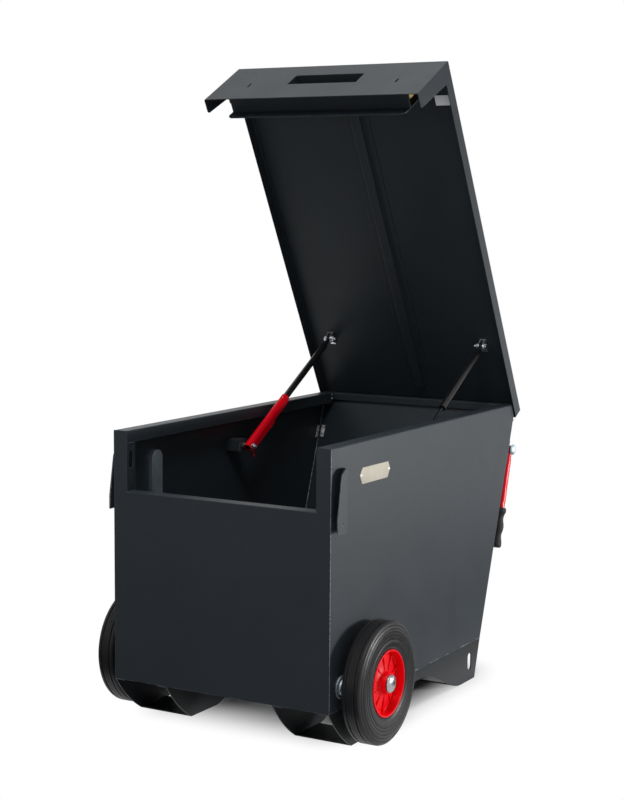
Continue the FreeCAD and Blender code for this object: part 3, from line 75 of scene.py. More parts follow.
def place(tree, stretch=(1, 1, 1)):
    """The piece's own coordinates, stretched."""
    coords = node(tree, "ShaderNodeTexCoord")
    mapping = node(tree, "ShaderNodeMapping", Scale=stretch)
    tree.links.new(coords.outputs["Object"], mapping.inputs["Vector"])
    return mapping.outputs["Vector"]


def grain(tree, where, scale, low=0.0, high=1.0, detail=3.0, edge=(0.3, 0.7)):
    """Noise between low and high; the part of it between the two edge values is spread over that range."""
    noise = node(tree, "ShaderNodeTexNoise", Scale=scale, Detail=detail, Roughness=0.6)
    tree.links.new(where, noise.inputs["Vector"])
    spread = node(tree, "ShaderNodeMapRange", From_Min=edge[0], From_Max=edge[1], To_Min=low, To_Max=high)
    tree.links.new(noise.outputs["Fac"], spread.inputs["Value"])
    return spread.outputs["Result"]


def combined(tree, first, second, operation="MULTIPLY"):
    """Two values, each a number or a socket, taken through a math node."""
    made = node(tree, "ShaderNodeMath", operation=operation)
    for socket, value in zip(made.inputs, (first, second)):
        if isinstance(value, (int, float)):
            socket.default_value = value
        else:
            tree.links.new(value, socket)
    return made.outputs[0]


def mixed(tree, share, first, second):
    """Colour between two colours."""
    mix = node(tree, "ShaderNodeMix", data_type="RGBA")
    tree.links.new(share, mix.inputs["Factor"])
    first_colour, second_colour, mixed_colour = mix.inputs[6], mix.inputs[7], mix.outputs[2]
    for socket, colour in ((first_colour, first), (second_colour, second)):
        if isinstance(colour, tuple):
            socket.default_value = (*colour, 1)
        else:
            tree.links.new(colour, socket)
    return mixed_colour


def edges(tree, radius):
    """1 at a piece's sharp edges, 0 on its faces, and the softened normal."""
    face_limit, edge_limit = 0.02, 0.3
    bevel = node(tree, "ShaderNodeBevel", samples=4, Radius=radius)
    surface = node(tree, "ShaderNodeNewGeometry")
    dot = node(tree, "ShaderNodeVectorMath", operation="DOT_PRODUCT")
    tree.links.new(bevel.outputs["Normal"], dot.inputs[0])
    tree.links.new(surface.outputs["Normal"], dot.inputs[1])
    spread = node(tree, "ShaderNodeMapRange", From_Min=1 - face_limit, From_Max=1 - edge_limit)
    tree.links.new(dot.outputs["Value"], spread.inputs["Value"])
    return spread.outputs["Result"], bevel.outputs["Normal"]


def bumped(tree, shader, height, depth, normal=None):
    """Bump of the given real depth on the shader."""
    bump = node(tree, "ShaderNodeBump", Strength=1.0, Distance=depth)
    tree.links.new(height, bump.inputs["Height"])
    if normal is not None:
        tree.links.new(normal, bump.inputs["Normal"])
    tree.links.new(bump.outputs["Normal"], shader.inputs["Normal"])


def shaded(colour, share):
    """A colour made darker or lighter."""
    return tuple(channel * share for channel in colour)


# Finishes


def powder_coat(name, colour, worn_and_lit, rough=(0.39, 0.46), edge_wear_and_light=0.75, soft=1.2 * MM, gloss=0.22):
    """Powder coat with orange peel, faint clouds and speckle, and edges in another colour: abrasion and painted
    highlight.
    """
    material, tree, shader = new_finish(name, Specular_IOR_Level=gloss)
    where = place(tree)
    # Edge mask: the edge colour stands partly for abraded paint, partly for a painted highlight
    rubbed_and_lit, rounded = edges(tree, soft)
    patches = grain(tree, where, 26.0, detail=6.0, edge=(0.42, 0.62))
    wear_and_light = combined(tree, combined(tree, rubbed_and_lit, patches), edge_wear_and_light)
    clouds = mixed(tree, grain(tree, where, 3.5, detail=4.0), shaded(colour, 0.93), shaded(colour, 1.05))
    speckle = grain(tree, where, 330.0, high=0.6, detail=2.0, edge=(0.5, 0.72))
    paint = mixed(tree, speckle, clouds, shaded(colour, 1.5))
    tree.links.new(mixed(tree, wear_and_light, paint, worn_and_lit), shader.inputs["Base Color"])
    tree.links.new(grain(tree, where, 11.0, *rough, detail=5.0), shader.inputs["Roughness"])
    orange_peel = grain(tree, where, 420.0, detail=2.0)
    bumped(tree, shader, orange_peel, 0.09 * MM, rounded)
    return material


def zinc_plate(name, colour, rough=(0.26, 0.42)):
    """Bright zinc plate with faint blotches and fine scratches."""
    material, tree, shader = new_finish(name, Metallic=1.0)
    where = place(tree)
    rounded = edges(tree, 0.8 * MM)[1]
    blotches = grain(tree, where, 90.0, detail=4.0)
    tree.links.new(mixed(tree, blotches, shaded(colour, 0.78), colour), shader.inputs["Base Color"])
    tree.links.new(grain(tree, where, 160.0, *rough), shader.inputs["Roughness"])
    scratches = grain(tree, place(tree, (1, 8, 1)), 700.0)
    bumped(tree, shader, scratches, 0.03 * MM, rounded)
    return material


def gloss_red(name, colour, rough, grain_depth, rounded_edges=True):
    """Red gloss: faint clouds, soft orange peel and, where its edges are rounded, lighter edges that are partly
    abrasion and partly painted highlight.
    """
    material, tree, shader = new_finish(name, Specular_IOR_Level=0.12)
    where = place(tree)
    paint = mixed(tree, grain(tree, where, 16.0, detail=4.0), shaded(colour, 0.88), colour)
    rounded = None
    if rounded_edges:
        # Lighter edges: partly abraded paint, partly painted highlight
        rubbed_and_lit, rounded = edges(tree, 0.8 * MM)
        lighter = (min(1.0, colour[0] * 1.1), colour[1] + 0.006, colour[2] + 0.008)
        wear_and_light = combined(tree, rubbed_and_lit, grain(tree, where, 60.0, high=0.6))
        paint = mixed(tree, wear_and_light, paint, lighter)
    tree.links.new(paint, shader.inputs["Base Color"])
    tree.links.new(grain(tree, where, 30.0, *rough), shader.inputs["Roughness"])
    bumped(tree, shader, grain(tree, where, 520.0), grain_depth, rounded)
    return material


def matt_skin(name, colour, dust, rough, scale, depth):
    """Fine-grained matt surface with clouds of a dustier colour: rubber, label film, dull plate."""
    material, tree, shader = new_finish(name, Specular_IOR_Level=0.2)
    where = place(tree)
    clouds = grain(tree, where, 22.0, detail=6.0, edge=(0.4, 0.75))
    tree.links.new(mixed(tree, clouds, colour, dust), shader.inputs["Base Color"])
    tree.links.new(grain(tree, where, 40.0, *rough), shader.inputs["Roughness"])
    rounded = edges(tree, 1.0 * MM)[1]
    bumped(tree, shader, grain(tree, where, scale), depth, rounded)
    return material


def drawn_metal(name, colour, rough):
    """Brushed or drawn metal with a very fine grain."""
    material, tree, shader = new_finish(name, Metallic=1.0)
    where = place(tree)
    blotches = grain(tree, where, 70.0)
    tree.links.new(mixed(tree, blotches, shaded(colour, 0.85), colour), shader.inputs["Base Color"])
    tree.links.new(grain(tree, where, 120.0, *rough), shader.inputs["Roughness"])
    rounded = edges(tree, 0.6 * MM)[1]
    bumped(tree, shader, grain(tree, where, 900.0), 0.02 * MM, rounded)
    return material


def scuffed_metal(name, dark, bright, metallic):
    """Surface blotched dark against bright: partly scraped metal, partly painted highlight."""
    material, tree, shader = new_finish(name, Metallic=metallic)
    where = place(tree)
    blotches = grain(tree, where, 230.0, detail=4.0, edge=(0.42, 0.58))
    tree.links.new(mixed(tree, blotches, dark, bright), shader.inputs["Base Color"])
    tree.links.new(grain(tree, where, 90.0, 0.36, 0.52), shader.inputs["Roughness"])
    bumped(tree, shader, blotches, 0.15 * MM)
    return material


ANTHRACITE = (0.026, 0.033, 0.040)
# Lighter copy of the anthracite, on guards, strut blocks and the seam lip: painted light
LIT_ANTHRACITE = (0.036, 0.044, 0.052)
# Edge colour of the powder coats: partly bare metal, partly painted edge highlight
BARE_AND_LIT_GREY = (0.16, 0.17, 0.18)
finishes = {
    "body_paint": powder_coat("body_paint", ANTHRACITE, BARE_AND_LIT_GREY),
    # Darker copy of the anthracite on the runners: painted shade
    "runner_paint": powder_coat("runner_paint", shaded(ANTHRACITE, 0.35), BARE_AND_LIT_GREY),
    # Darker copy of the anthracite on the lid: painted shade
    "lid_paint": powder_coat("lid_paint", shaded(ANTHRACITE, 0.8), BARE_AND_LIT_GREY),
    # Front and side panels: paler, wider edges, partly abrasion and partly painted highlight
    "panel_paint": powder_coat("panel_paint", ANTHRACITE, (0.34, 0.38, 0.42), edge_wear_and_light=0.95, soft=2.0 * MM),
    # Lighter paint with bright edges: painted light, with some edge abrasion
    "worn_paint": powder_coat(
        "worn_paint", LIT_ANTHRACITE, (0.62, 0.66, 0.7), edge_wear_and_light=1.0, soft=2.6 * MM),
    "strut_black": powder_coat(
        "strut_black", (0.009, 0.009, 0.01), (0.05, 0.05, 0.05),
        rough=(0.26, 0.36), edge_wear_and_light=0.3, soft=0.6 * MM, gloss=0.3),
    "tyre": matt_skin(
        "tyre_rubber", (0.013, 0.0135, 0.0155), (0.016, 0.016, 0.016), (0.34, 0.46), 300.0, 0.08 * MM),
    "grip": matt_skin(
        "grip_rubber", (0.010, 0.010, 0.011), (0.02, 0.02, 0.02), (0.5, 0.62), 500.0, 0.12 * MM),
    "plate": matt_skin(
        "plate_metal", (0.56, 0.52, 0.43), (0.64, 0.6, 0.51), (0.45, 0.6), 500.0, 0.02 * MM),
    "label": matt_skin(
        "label_film", (0.86, 0.86, 0.92), (0.94, 0.94, 1.0), (0.4, 0.5), 500.0, 0.02 * MM),
    "hub_red": gloss_red("hub_plastic", (0.96, 0.0, 0.008), (0.3, 0.42), 0.03 * MM),
    "sleeve": gloss_red("sleeve_coat", (0.98, 0.0, 0.014), (0.4, 0.5), 0.03 * MM, rounded_edges=False),
    "handle_red": gloss_red("handle_coat", (0.84, 0.0, 0.012), (0.06, 0.12), 0.01 * MM),
    "zinc": zinc_plate("zinc_plate", (0.66, 0.69, 0.72)),
    "strap_zinc": zinc_plate("strap_zinc", (0.46, 0.54, 0.60), (0.38, 0.55)),
    "cap_steel": zinc_plate("cap_steel", (0.4, 0.41, 0.42), (0.22, 0.32)),
    "bolt_zinc": zinc_plate("bolt_zinc", (0.5, 0.59, 0.64), (0.5, 0.62)),
    "brass": drawn_metal("brushed_brass", (0.78, 0.58, 0.26), (0.26, 0.4)),
    "rod_steel": drawn_metal("rod_steel", (0.03, 0.03, 0.032), (0.2, 0.3)),
    "rivet": drawn_metal("rivet_metal", (0.86, 0.87, 0.88), (0.3, 0.4)),
    # Blotched grey on the front corner lines and weld beads: painted highlight, with some abrasion
    "rubbed_edge": scuffed_metal("rubbed_edge", (0.045, 0.055, 0.065), (0.30, 0.34, 0.38), 0.0),
    # White blotches on weld spots and gusset faces: painted glint and highlight, with some abrasion
    "scuffed_and_lit": scuffed_metal("scuffed_metal", (0.05, 0.055, 0.06), (1.0, 1.0, 1.0), 0.2),
}

# CAD nodes that differ from their slot's finish, by their names without the last word; the lighter and darker
# paints among them are painted light and shade
OWN_FINISH = {
    "corner_gusset": "body_paint", "safety": "sleeve", "strut_block": "worn_paint", "guard": "worn_paint",
    "runner": "runner_paint", "front": "panel_paint", "side_panel": "panel_paint",
}
for subpart in frame["record"]["subparts"]:
    cad = frame["nodes"][subpart["node"]]
    stem = subpart["node"].rsplit("_", 1)[0]
    cad.data.materials.clear()
    cad.data.materials.append(finishes[OWN_FINISH.get(stem, subpart["material_slot"])])

# Modelling helpers. Their lengths and places are in millimetres.


def deselect():
    """Leave edit mode and select nothing."""
    if bpy.context.object and bpy.context.object.mode != "OBJECT":
        bpy.ops.object.mode_set(mode="OBJECT")
    bpy.ops.object.select_all(action="DESELECT")


def activate(piece):
    """Make a piece the only selected one and the active one."""
    deselect()
    piece.select_set(True)
    bpy.context.view_layer.objects.active = piece


def edit_all(piece):
    """Take a piece into edit mode with all of it selected."""
    bpy.context.view_layer.objects.active = piece
    if piece.mode != "EDIT":
        bpy.ops.object.mode_set(mode="EDIT")
    bpy.ops.mesh.select_all(action="SELECT")


def begin(name, primitive, **values):
    """New primitive in edit mode with its place in its mesh and all of it selected."""
    deselect()
    primitive(**values)
    piece = bpy.context.active_object
    piece.name = name
    bpy.ops.object.transform_apply(location=True, rotation=True, scale=True)
    edit_all(piece)
    return piece


def choose_vertices(piece, wanted):
    """Select the vertices whose places pass a test."""
    mesh = bmesh.from_edit_mesh(piece.data)
    for vertex in mesh.verts:
        vertex.select = wanted(vertex.co / MM)
    mesh.select_flush_mode()
    bmesh.update_edit_mesh(piece.data)


def dressed(piece, body):
    """Body of a piece."""
    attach(piece, body)


def finished(piece, slot, body, bevel=0.0, angle=35, finish=None):
    """Outward normals, rounded edges, smooth shading, a finish, and the body to ride on."""
    edit_all(piece)
    bpy.ops.mesh.remove_doubles(threshold=0.02 * MM)
    bpy.ops.mesh.normals_make_consistent(inside=False)
    activate(piece)
    if bevel:
        rounding = piece.modifiers.new("rounding", "BEVEL")
        rounding.width = bevel * MM
        rounding.segments = 2
        rounding.limit_method = "ANGLE"
        rounding.angle_limit = math.radians(30)
        bpy.ops.object.modifier_apply(modifier=rounding.name)
    bpy.ops.object.shade_smooth_by_angle(angle=math.radians(angle))
    piece.data.materials.clear()
    piece.data.materials.append(finishes[finish or slot])
    dressed(piece, body)
    return piece


def copied(piece, name):
    """Copy of a finished piece with a mesh of its own."""
    activate(piece)
    bpy.ops.object.duplicate(linked=False)
    twin = bpy.context.active_object
    twin.name = name
    return twin


def left(name):
    """The left-hand name of a right-hand piece, body or node."""
    return name.replace("right", "left")


def pair(piece, slot, body, *replaced):
    """A finished right-hand piece gets its left-hand twin, and each stands for the nodes on its own side."""
    twin = copied(piece, left(piece.name))
    edit_all(twin)
    bpy.ops.transform.mirror(constraint_axis=(True, False, False), center_override=(0, 0, 0))
    bpy.ops.mesh.normals_make_consistent(inside=False)
    bpy.ops.object.mode_set(mode="OBJECT")
    dressed(twin, left(body))
    if replaced:
        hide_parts(*replaced)
        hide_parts(*map(left, replaced))


def both_sides(piece, slot, body, *replaced, **look):
    """Finish a right-hand piece and give it its left-hand twin."""
    finished(piece, slot, body, **look)
    pair(piece, slot, body, *replaced)


def lathed(name, section, base, along, steps, closed=False):
    """Circle pulled along a line from a base through rings given as (distance, radius)."""
    along = along.normalized()
    distance, radius = section[0]
    piece = begin(
        name, bpy.ops.mesh.primitive_circle_add, vertices=steps, radius=radius * MM,
        fill_type="NOTHING" if closed else "NGON", location=(base + along * distance) * MM,
        rotation=along.to_track_quat("Z", "Y").to_euler(),
    )
    pull = bpy.ops.mesh.extrude_edges_move if closed else bpy.ops.mesh.extrude_region_move
    for next_distance, next_radius in section[1:] + section[:1] * closed:
        pull(TRANSFORM_OT_translate={"value": along * (next_distance - distance) * MM})
        if not math.isclose(next_radius, radius):
            ring_centre = (base + along * next_distance) * MM
            bpy.ops.transform.resize(value=(next_radius / radius,) * 3, center_override=ring_centre)
        distance, radius = next_distance, next_radius
    return piece


def outlined(name, corners, thickness):
    """Flat plate: a ring of corners filled and pulled along a vector."""
    piece = begin(
        name, bpy.ops.mesh.primitive_circle_add, vertices=len(corners), radius=0.1, fill_type="NGON")
    mesh = bmesh.from_edit_mesh(piece.data)
    mesh.verts.ensure_lookup_table()
    for vertex, corner in zip(mesh.verts, corners):
        vertex.co = Vector(corner) * MM
    bmesh.update_edit_mesh(piece.data)
    bpy.ops.mesh.extrude_region_move(TRANSFORM_OT_translate={"value": Vector(thickness) * MM})
    return piece


def raised_face(piece, normal, border, depth):
    """Inset the faces that look along a normal, with a step in depth."""
    bpy.ops.mesh.normals_make_consistent(inside=False)
    mesh = bmesh.from_edit_mesh(piece.data)
    for face in mesh.faces:
        face.select = face.normal.dot(normal) > 0.99
    mesh.select_flush_mode()
    bmesh.update_edit_mesh(piece.data)
    bpy.ops.mesh.inset(thickness=border * MM, depth=depth * MM)


def domed_head(name, spot, rings, finish="bolt_zinc"):
    """Domed steel head on the right side of the box, its rings given as (distance, radius)."""
    head = lathed(name, rings, Vector(spot), RIGHTWARDS, steps=48)
    return finished(head, "zinc", "box", angle=40, finish=finish)


# Places on the box: the outer face of its right wall, and where the painted highlight lines and welds at its
# corners start

WALL_X = 304
CORNER_FOOT_Z = 112

# Wheels. Rings are given as (distance along the axle, radius).

WHEEL_CENTRE = Vector((348, -372.2182, 148))


def ribbed_tyre():
    """Solid tyre: five ridges on each side wall, ribs and fine lines round the tread."""
    wall, shoulder_start, shoulder_slope = 29.0, 124, 0.28
    groove_depth, groove_half_width, inner_drop, outer_drop, ridge = 1.5, 1.0, 0.25, 0.45, 4.1

    def wall_at(radius):
        return wall - max(0.0, radius - shoulder_start) * shoulder_slope

    rings = [(24.0, 81.05), (26.2, 84), (28.4, 90), (wall, 96), (wall, 103.4)]
    for groove in (105, 113.2, 121.4, 129.6, 137.8):
        brim = wall_at(groove)
        rings += [
            (brim - inner_drop, groove - groove_half_width), (brim - groove_depth, groove),
            (brim - outer_drop, groove + groove_half_width), (wall_at(groove + ridge), groove + ridge),
        ]
    rings += [(22.6, 144.5), (20.6, 146.8), (17.6, 148)]
    rings += [(13.4, 148), (12.8, 147.2), (12.4, 145.2), (9.8, 145.2), (9.4, 147.2), (8.8, 148)]
    rings += [(4.0, 148), (3.6, 147.2), (3.0, 147.2), (2.6, 148)]
    rings += [(-offset, radius) for offset, radius in rings[::-1]]
    tyre = lathed("tyre_ribbed_right", rings, WHEEL_CENTRE, RIGHTWARDS, steps=128, closed=True)
    both_sides(tyre, "tyre", "wheel_right", "tyre_right", angle=24)


def hub_rib():
    """Rib from the hub's boss to its rim: lower towards the rim, its outer edge thinner by the boss."""
    tall, thick, long = 12, 2.4, 52.5
    middle = Vector((10.0, 0, 49.5))
    rib = begin("hub_rib", bpy.ops.mesh.primitive_cube_add, size=1,
                scale=(tall * MM, thick * MM, long * MM), location=(WHEEL_CENTRE + middle) * MM)
    outer, rimward = WHEEL_CENTRE.x + 15, WHEEL_CENTRE.z + 60
    choose_vertices(rib, lambda spot: spot.x > outer and spot.z > rimward)
    bpy.ops.transform.translate(value=(-5.0 * MM, 0, 0))
    choose_vertices(rib, lambda spot: spot.x > outer)
    bpy.ops.transform.resize(value=(1, 0.75, 1), center_override=WHEEL_CENTRE * MM)
    return finished(rib, "hub_red", "wheel_right", bevel=0.5)


def moulded_hub():
    """Plastic hub: lipped rim, dished web with ten ribs, and a boss round the axle."""
    rim = [(-27, 80.9), (27, 80.9), (27, 76.2), (21, 75.6), (9.5, 74.6), (7.2, 72)]
    web = [(8.6, 60), (11.4, 42), (14, 29.5), (17, 26)]
    boss = [(28.6, 24.6), (28.6, 13.6), (-27, 13.6), (-27, 21.5)]
    back = [(4, 22.5), (2.6, 60), (2.0, 74.4), (-27, 76.2)]
    hub = lathed("hub_moulded_right", rim + web + boss + back, WHEEL_CENTRE, RIGHTWARDS, steps=96, closed=True)
    finished(hub, "hub_red", "wheel_right", bevel=0.9)
    ribs = [hub_rib()]
    rib_count = 10
    for index in range(1, rib_count):
        rib = copied(ribs[0], "hub_rib")
        edit_all(rib)
        bpy.ops.transform.rotate(
            value=math.tau * index / rib_count, orient_axis="X", center_override=WHEEL_CENTRE * MM)
        bpy.ops.object.mode_set(mode="OBJECT")
        ribs.append(rib)
    activate(hub)
    for rib in ribs:
        rib.select_set(True)
    bpy.ops.object.join()
    pair(hub, "hub_red", "wheel_right", "hub_right")


def domed_cap():
    """Pressed zinc cap on the axle's end."""
    rings = [
        (29.3, 21.6), (30.6, 22.0), (31.8, 21.7), (33.6, 20.2), (35.4, 17.2), (36.8, 13.2), (37.8, 8.6),
        (38.2, 4.2), (38.3, 1.0),
    ]
    cap = lathed("axle_dome_right", rings, WHEEL_CENTRE, RIGHTWARDS, steps=64)
    both_sides(cap, "zinc", "wheel_right", "axle_cap_right", finish="cap_steel")


# Carrying handles. They hang at rest with the lean of the CAD's tubes.

HANDLE_PIVOT = Vector((280, 518.611, 592))
HANDLE_LEAN = math.radians(17.003)
HANDLE_DOWN = Vector((0, -math.sin(HANDLE_LEAN), -math.cos(HANDLE_LEAN)))


def carrying_handle():
    """Gloss cover over the tube below its bracket, and a rubber grip with finger rings."""
    cover = [(25, 13.05), (27, 13.7), (30, 14), (120, 14), (200, 14)]
    tube = lathed("carry_tube_right", cover, HANDLE_PIVOT, HANDLE_DOWN, steps=48)
    both_sides(tube, "handle_red", "handle_right", angle=50)
    finger_rings = [
        (166, 14.1), (166, 17.6), (167.6, 19), (172, 19.3), (177.5, 19), (182, 17.2), (188, 15.2), (195, 14.5),
        (202, 15.3), (210, 17.5), (219, 18.7), (228, 17.6), (236, 15.6), (243, 14.9), (250, 15.7), (258, 17.8),
        (266, 18.8), (272, 18.7), (275.6, 17.2), (277, 14.4),
    ]
    grip = lathed("grip_rings_right", finger_rings, HANDLE_PIVOT, HANDLE_DOWN, steps=48)
    both_sides(grip, "grip", "handle_right", "handle_grip_right", angle=50)


def wall_domes():
    """Domed heads of the handle's pivot bolt and of the bolt beside the wheel."""
    disc_rings = [(0, 14.0), (0.8, 14.8), (2.2, 14.6), (5.2, 12.8), (7.4, 9.2), (8.2, 4.6), (8.4, 1.0)]
    disc_spot = (293.4, HANDLE_PIVOT.y, HANDLE_PIVOT.z)
    pair(domed_head("handle_disc_right", disc_spot, disc_rings), "zinc", "box")
    bolt_rings = [
        (0, 26.6), (1.4, 27), (3.0, 26.7), (4.2, 24.2), (4.8, 18.6), (8.2, 17.6), (10.2, 14.4), (11.2, 8.2),
        (11.5, 1.5),
    ]
    bolt_spot = (WALL_X, -480.5, 155)
    pair(domed_head("side_dome_right", bolt_spot, bolt_rings), "zinc", "box", "side_bolt_right")


# Small parts on the walls and inside the lid


def blank_plate():
    """Bare metal plate with two rivets on the right wall."""
    corners = [
        (-399.2, 641.9), (-385.2, 659.7), (-255.9, 658.4), (-246.5, 640.2), (-259.6, 620), (-387.4, 620.6)]
    thickness, rivet_seat = 1.0, 0.8
    plate = outlined("blank_plate", [(WALL_X, y, z) for y, z in corners], RIGHTWARDS * thickness)
    raised_face(plate, RIGHTWARDS, border=2.4, depth=-0.25)
    finished(plate, "brass", "box", bevel=0.25, finish="plate")
    rivet_rings = [(0, 3.4), (0.7, 3.3), (1.6, 2.4), (2.1, 1.1), (2.2, 0.3)]
    for number, (y, z) in enumerate(((-393.4, 641.4), (-252.2, 639.9)), start=1):
        domed_head(f"plate_rivet_{number}", (WALL_X + rivet_seat, y, z), rivet_rings, "rivet")


def blank_label():
    """Bare label stuck inside the lid near its right edge."""
    lid_down, lid_out = Vector((0, 0.4756, -0.8796)), Vector((0, -0.8796, -0.4756))
    width, height, thickness = 43, 28, 0.6
    top_left = Vector((250, 78.4, 1547.4))
    top_right = top_left + RIGHTWARDS * width
    corners = [top_left, top_right, top_right + lid_down * height, top_left + lid_down * height]
    label = outlined("blank_label", corners, lid_out * thickness)
    raised_face(label, lid_out, border=1.6, depth=-0.15)
    finished(label, "zinc", "lid", bevel=0.15, finish="label")


def wall_seam():
    """Lip at the foot of the side wall, where it laps over the runner, in lighter paint as a painted highlight,
    with a near-black painted shadow line below it.
    """
    seam_start, lip_length, shadow_length = -400, 697, 695
    lip_profile = [(WALL_X, 105.0), (WALL_X + 0.9, 104.2), (WALL_X + 0.9, 102.6), (WALL_X, 101.9)]
    # The lip's lighter paint is a painted highlight
    lip = outlined("seam_lip_right", [(x, seam_start, z) for x, z in lip_profile], (0, lip_length, 0))
    both_sides(lip, "body_paint", "box", bevel=0.2, finish="worn_paint")
    # Near-black strip under the lip: a painted shadow line
    shadow_profile = [(WALL_X, 101.9), (WALL_X + 0.25, 101.7), (WALL_X + 0.25, 99.6), (WALL_X, 99.4)]
    shadow_line = outlined("seam_joint_right", [(x, seam_start, z) for x, z in shadow_profile], (0, shadow_length, 0))
    both_sides(shadow_line, "grip", "box")


def corner_highlight():
    """Painted highlight line down the fold at each front corner, where the front panel meets the side wall."""
    profile = [
        (303.2, -536.4), (304.2, -536.4), (304.5, -535.9), (304.4, -534.6), (303.8, -534.2), (303, -535)]
    edge_length = 604
    edge = outlined("corner_edge_right", [(x, y, CORNER_FOOT_Z) for x, y in profile], (0, 0, edge_length))
    both_sides(edge, "body_paint", "box", finish="rubbed_edge")


def corner_weld():
    """Uneven weld bead down each rear inside corner."""
    foot, head = Vector((301.2, 299.2, CORNER_FOOT_Z)), Vector((301.2, 498.4, 690))
    ring_count = 96
    spacing = (head - foot).length / ring_count
    rings = [
        (spacing * ring, 1.5 + 0.5 * math.sin(ring * 2.3) + 0.3 * math.sin(ring * 5.1))
        for ring in range(ring_count + 1)
    ]
    bead = lathed("corner_weld_right", rings, foot, head - foot, steps=10)
    # The bead's bright blotched finish is partly painted highlight
    both_sides(bead, "body_paint", "box", angle=60, finish="rubbed_edge")


def weld_dots():
    """Weld spots at the rear end of each top flange, and over the corner bead, blotched white: partly ground
    metal, partly painted glint.
    """
    rings = [(0, 3.0), (0.9, 2.8), (1.9, 1.7), (2.3, 0.5)]
    spots = ((265.9, 481, 717), (265.9, 481, 705), (301.6, 503.2, 677))
    for number, spot in enumerate(spots, start=1):
        dot = lathed(f"weld_dot_right_{number}", rings, Vector(spot), -RIGHTWARDS, steps=12)
        both_sides(dot, "zinc", "box", angle=60, finish="scuffed_and_lit")


def gusset_faces():
    """Bright blotched faces on the two legs of each rear gusset, along the leaning rear wall: painted
    highlight, with some abrasion.
    """
    low, high = 592.5, 625.0
    depth_at_top, depth_at_base, body_height = 1048, 834, 620
    wall_y, wall_z, wall_slope = 476.6, 627, (depth_at_top - depth_at_base) / body_height
    low_y, high_y = (wall_y - wall_slope * (wall_z - z) for z in (low, high))
    side_x, side_near, side_far = 299.1, 20.5, 7.5
    side = outlined("gusset_side_right", [
        (side_x, low_y - side_near, low), (side_x, low_y - side_far, low),
        (side_x, high_y - side_far, high), (side_x, high_y - side_near, high)], (-0.5, 0, 0))
    rear_setback, rear_right, rear_left = 3.1, 294.5, 281.5
    rear = outlined("gusset_rear_right", [
        (rear_right, low_y - rear_setback, low), (rear_left, low_y - rear_setback, low),
        (rear_left, high_y - rear_setback, high), (rear_right, high_y - rear_setback, high)], (0, -0.6, 0))
    for face in (side, rear):
        both_sides(face, "zinc", "box", bevel=0.15, finish="scuffed_and_lit")


ribbed_tyre()
moulded_hub()
domed_cap()
carrying_handle()
wall_domes()
blank_plate()
blank_label()
wall_seam()
corner_highlight()
corner_weld()
weld_dots()
gusset_faces()

# Camera, as solved from the photo's straight edges

CAMERA_SPOT = Vector((2.1992, -3.9147, 1.2767))
YAW = math.radians(29.942)
PITCH = math.radians(6.530)
ROLL = math.radians(0.382)
FOCAL_PIXELS = 1727.8
PICTURE_HEIGHT = 800
SENSOR = 36.0

ahead = Vector((-math.sin(YAW) * math.cos(PITCH), math.cos(YAW) * math.cos(PITCH), -math.sin(PITCH)))
level = Vector((math.cos(YAW), math.sin(YAW), 0))
above = level.cross(ahead)
right = level * math.cos(ROLL) + above * math.sin(ROLL)
upward = above * math.cos(ROLL) - level * math.sin(ROLL)
facing = Matrix((right, upward, -ahead)).transposed().to_4x4()
lens = bpy.data.cameras.new("camera")
lens.sensor_width = SENSOR
lens.lens = FOCAL_PIXELS * SENSOR / PICTURE_HEIGHT
lens.clip_end = 100
camera = bpy.data.objects.new("camera", lens)
camera.matrix_world = Matrix.Translation(CAMERA_SPOT) @ facing
bpy.context.scene.collection.objects.link(camera)
bpy.context.scene.camera = camera

# Floor, light and background


def seen_or_mirrored(tree):
    """1 for rays from the camera, or off a glossy or through a clear surface."""
    rays = node(tree, "ShaderNodeLightPath")
    first = combined(tree, rays.outputs["Is Camera Ray"], rays.outputs["Is Glossy Ray"], "MAXIMUM")
    return combined(tree, first, rays.outputs["Is Transmission Ray"], "MAXIMUM")


def away_from_object(tree):
    """0 on the floor under the object, 1 where its shadow has ended on every side."""
    coords = node(tree, "ShaderNodeTexCoord")
    parts = node(tree, "ShaderNodeSeparateXYZ")
    tree.links.new(coords.outputs["Object"], parts.inputs["Vector"])
    squares = []
    for axis, centre, half, reach in (("X", 0.0, 0.21, 0.165), ("Y", -0.025, 0.225, 0.28)):
        offset = combined(tree, combined(tree, parts.outputs[axis], centre, "SUBTRACT"), 0.0, "ABSOLUTE")
        outside = combined(tree, combined(tree, offset, half, "SUBTRACT"), 0.0, "MAXIMUM")
        squares.append(combined(tree, combined(tree, outside, reach, "DIVIDE"), 2.0, "POWER"))
    return combined(tree, combined(tree, *squares, "ADD"), 0.5, "POWER")


def white_floor():
    """Pale floor that keeps the shadow near the object and fades to the white background."""
    deselect()
    bpy.ops.mesh.primitive_circle_add(vertices=96, radius=60, fill_type="NGON", location=(0, 0, 0))
    floor = bpy.context.active_object
    floor.name = "studio_floor"
    material, tree, shader = new_finish(
        "studio_floor", Base_Color=(0.9, 0.9, 0.9, 1), Roughness=0.9, Specular_IOR_Level=0.0)
    output = next(made for made in tree.nodes if made.type == "OUTPUT_MATERIAL")
    glow = node(tree, "ShaderNodeEmission", Strength=1.0)
    fade = node(tree, "ShaderNodeMapRange", interpolation_type="SMOOTHSTEP")
    tree.links.new(away_from_object(tree), fade.inputs["Value"])
    share = combined(tree, fade.outputs["Result"], seen_or_mirrored(tree))
    mix = node(tree, "ShaderNodeMixShader")
    tree.links.new(share, mix.inputs["Fac"])
    tree.links.new(shader.outputs["BSDF"], mix.inputs[1])
    tree.links.new(glow.outputs["Emission"], mix.inputs[2])
    tree.links.new(mix.outputs["Shader"], output.inputs["Surface"])
    floor.data.materials.append(material)


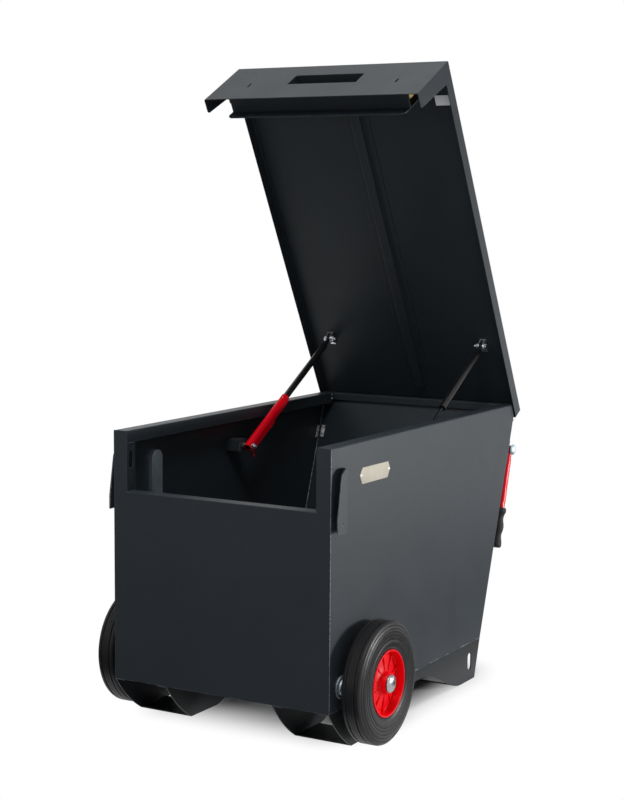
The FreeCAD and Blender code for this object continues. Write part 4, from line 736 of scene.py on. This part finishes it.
def white_world(ambient):
    """White where it is seen, a plain level of light otherwise."""
    world = bpy.data.worlds.new("studio")
    bpy.context.scene.world = world
    world.use_nodes = True
    tree = world.node_tree
    tree.nodes.clear()
    output = node(tree, "ShaderNodeOutputWorld")
    dim = node(tree, "ShaderNodeBackground", Color=(1, 1, 1, 1), Strength=ambient)
    white = node(tree, "ShaderNodeBackground", Color=(1, 1, 1, 1), Strength=1.0)
    mix = node(tree, "ShaderNodeMixShader")
    tree.links.new(seen_or_mirrored(tree), mix.inputs["Fac"])
    tree.links.new(dim.outputs["Background"], mix.inputs[1])
    tree.links.new(white.outputs["Background"], mix.inputs[2])
    tree.links.new(mix.outputs["Shader"], output.inputs["Surface"])


def backdrop(name, low, high, shade):
    """Flat grey backdrop between two corners, outside the picture. It only shows in glossy surfaces."""
    deselect()
    bpy.ops.mesh.primitive_cube_add(size=1)
    card = bpy.context.active_object
    card.name = name
    card.location = (Vector(low) + Vector(high)) / 2
    card.scale = Vector(high) - Vector(low)
    material = new_finish(name, Base_Color=(shade, shade, shade, 1), Roughness=1.0, Specular_IOR_Level=0.0)[0]
    card.data.materials.append(material)
    card.visible_camera = False
    card.visible_diffuse = False
    card.visible_shadow = False
    card.visible_transmission = False


def softbox(name, spot, target, size, power):
    """Square area lamp turned towards a target, its places and size in metres and its power in watts."""
    lamp = bpy.data.lights.new(name, "AREA")
    lamp.shape = "SQUARE"
    lamp.size = size
    lamp.energy = power
    light = bpy.data.objects.new(name, lamp)
    light.location = spot
    light.rotation_euler = (Vector(target) - Vector(spot)).to_track_quat("-Z", "Y").to_euler()
    bpy.context.scene.collection.objects.link(light)


white_floor()
white_world(0.15)
backdrop("front_cloth", (-3.2, -4.6, 0.002), (0.5, -0.57, 0.004), 0.02)
backdrop("front_backdrop", (-5.0, -4.7, 0.0), (1.6, -4.6, 2.6), 0.02)
backdrop("right_cloth", (0.42, 0.0, 0.002), (1.7, 2.4, 0.004), 0.04)
backdrop("rear_backdrop", (1.6, 5.6, 1.0), (6.0, 5.7, 4.0), 0.12)
softbox("top_softbox", (0.1, 0.3, 5.0), (0, 0, 0.6), 3.0, 58)
softbox("right_softbox", (4.0, 2.4, 0.5), (0, 0, 0.5), 0.7, 145)
softbox("front_softbox", (-1.2, -4.6, 1.1), (0, 0, 0.5), 1.6, 24)
softbox("upper_softbox", (0.9, -1.8, 3.4), (0, 0, 0.5), 0.8, 34)
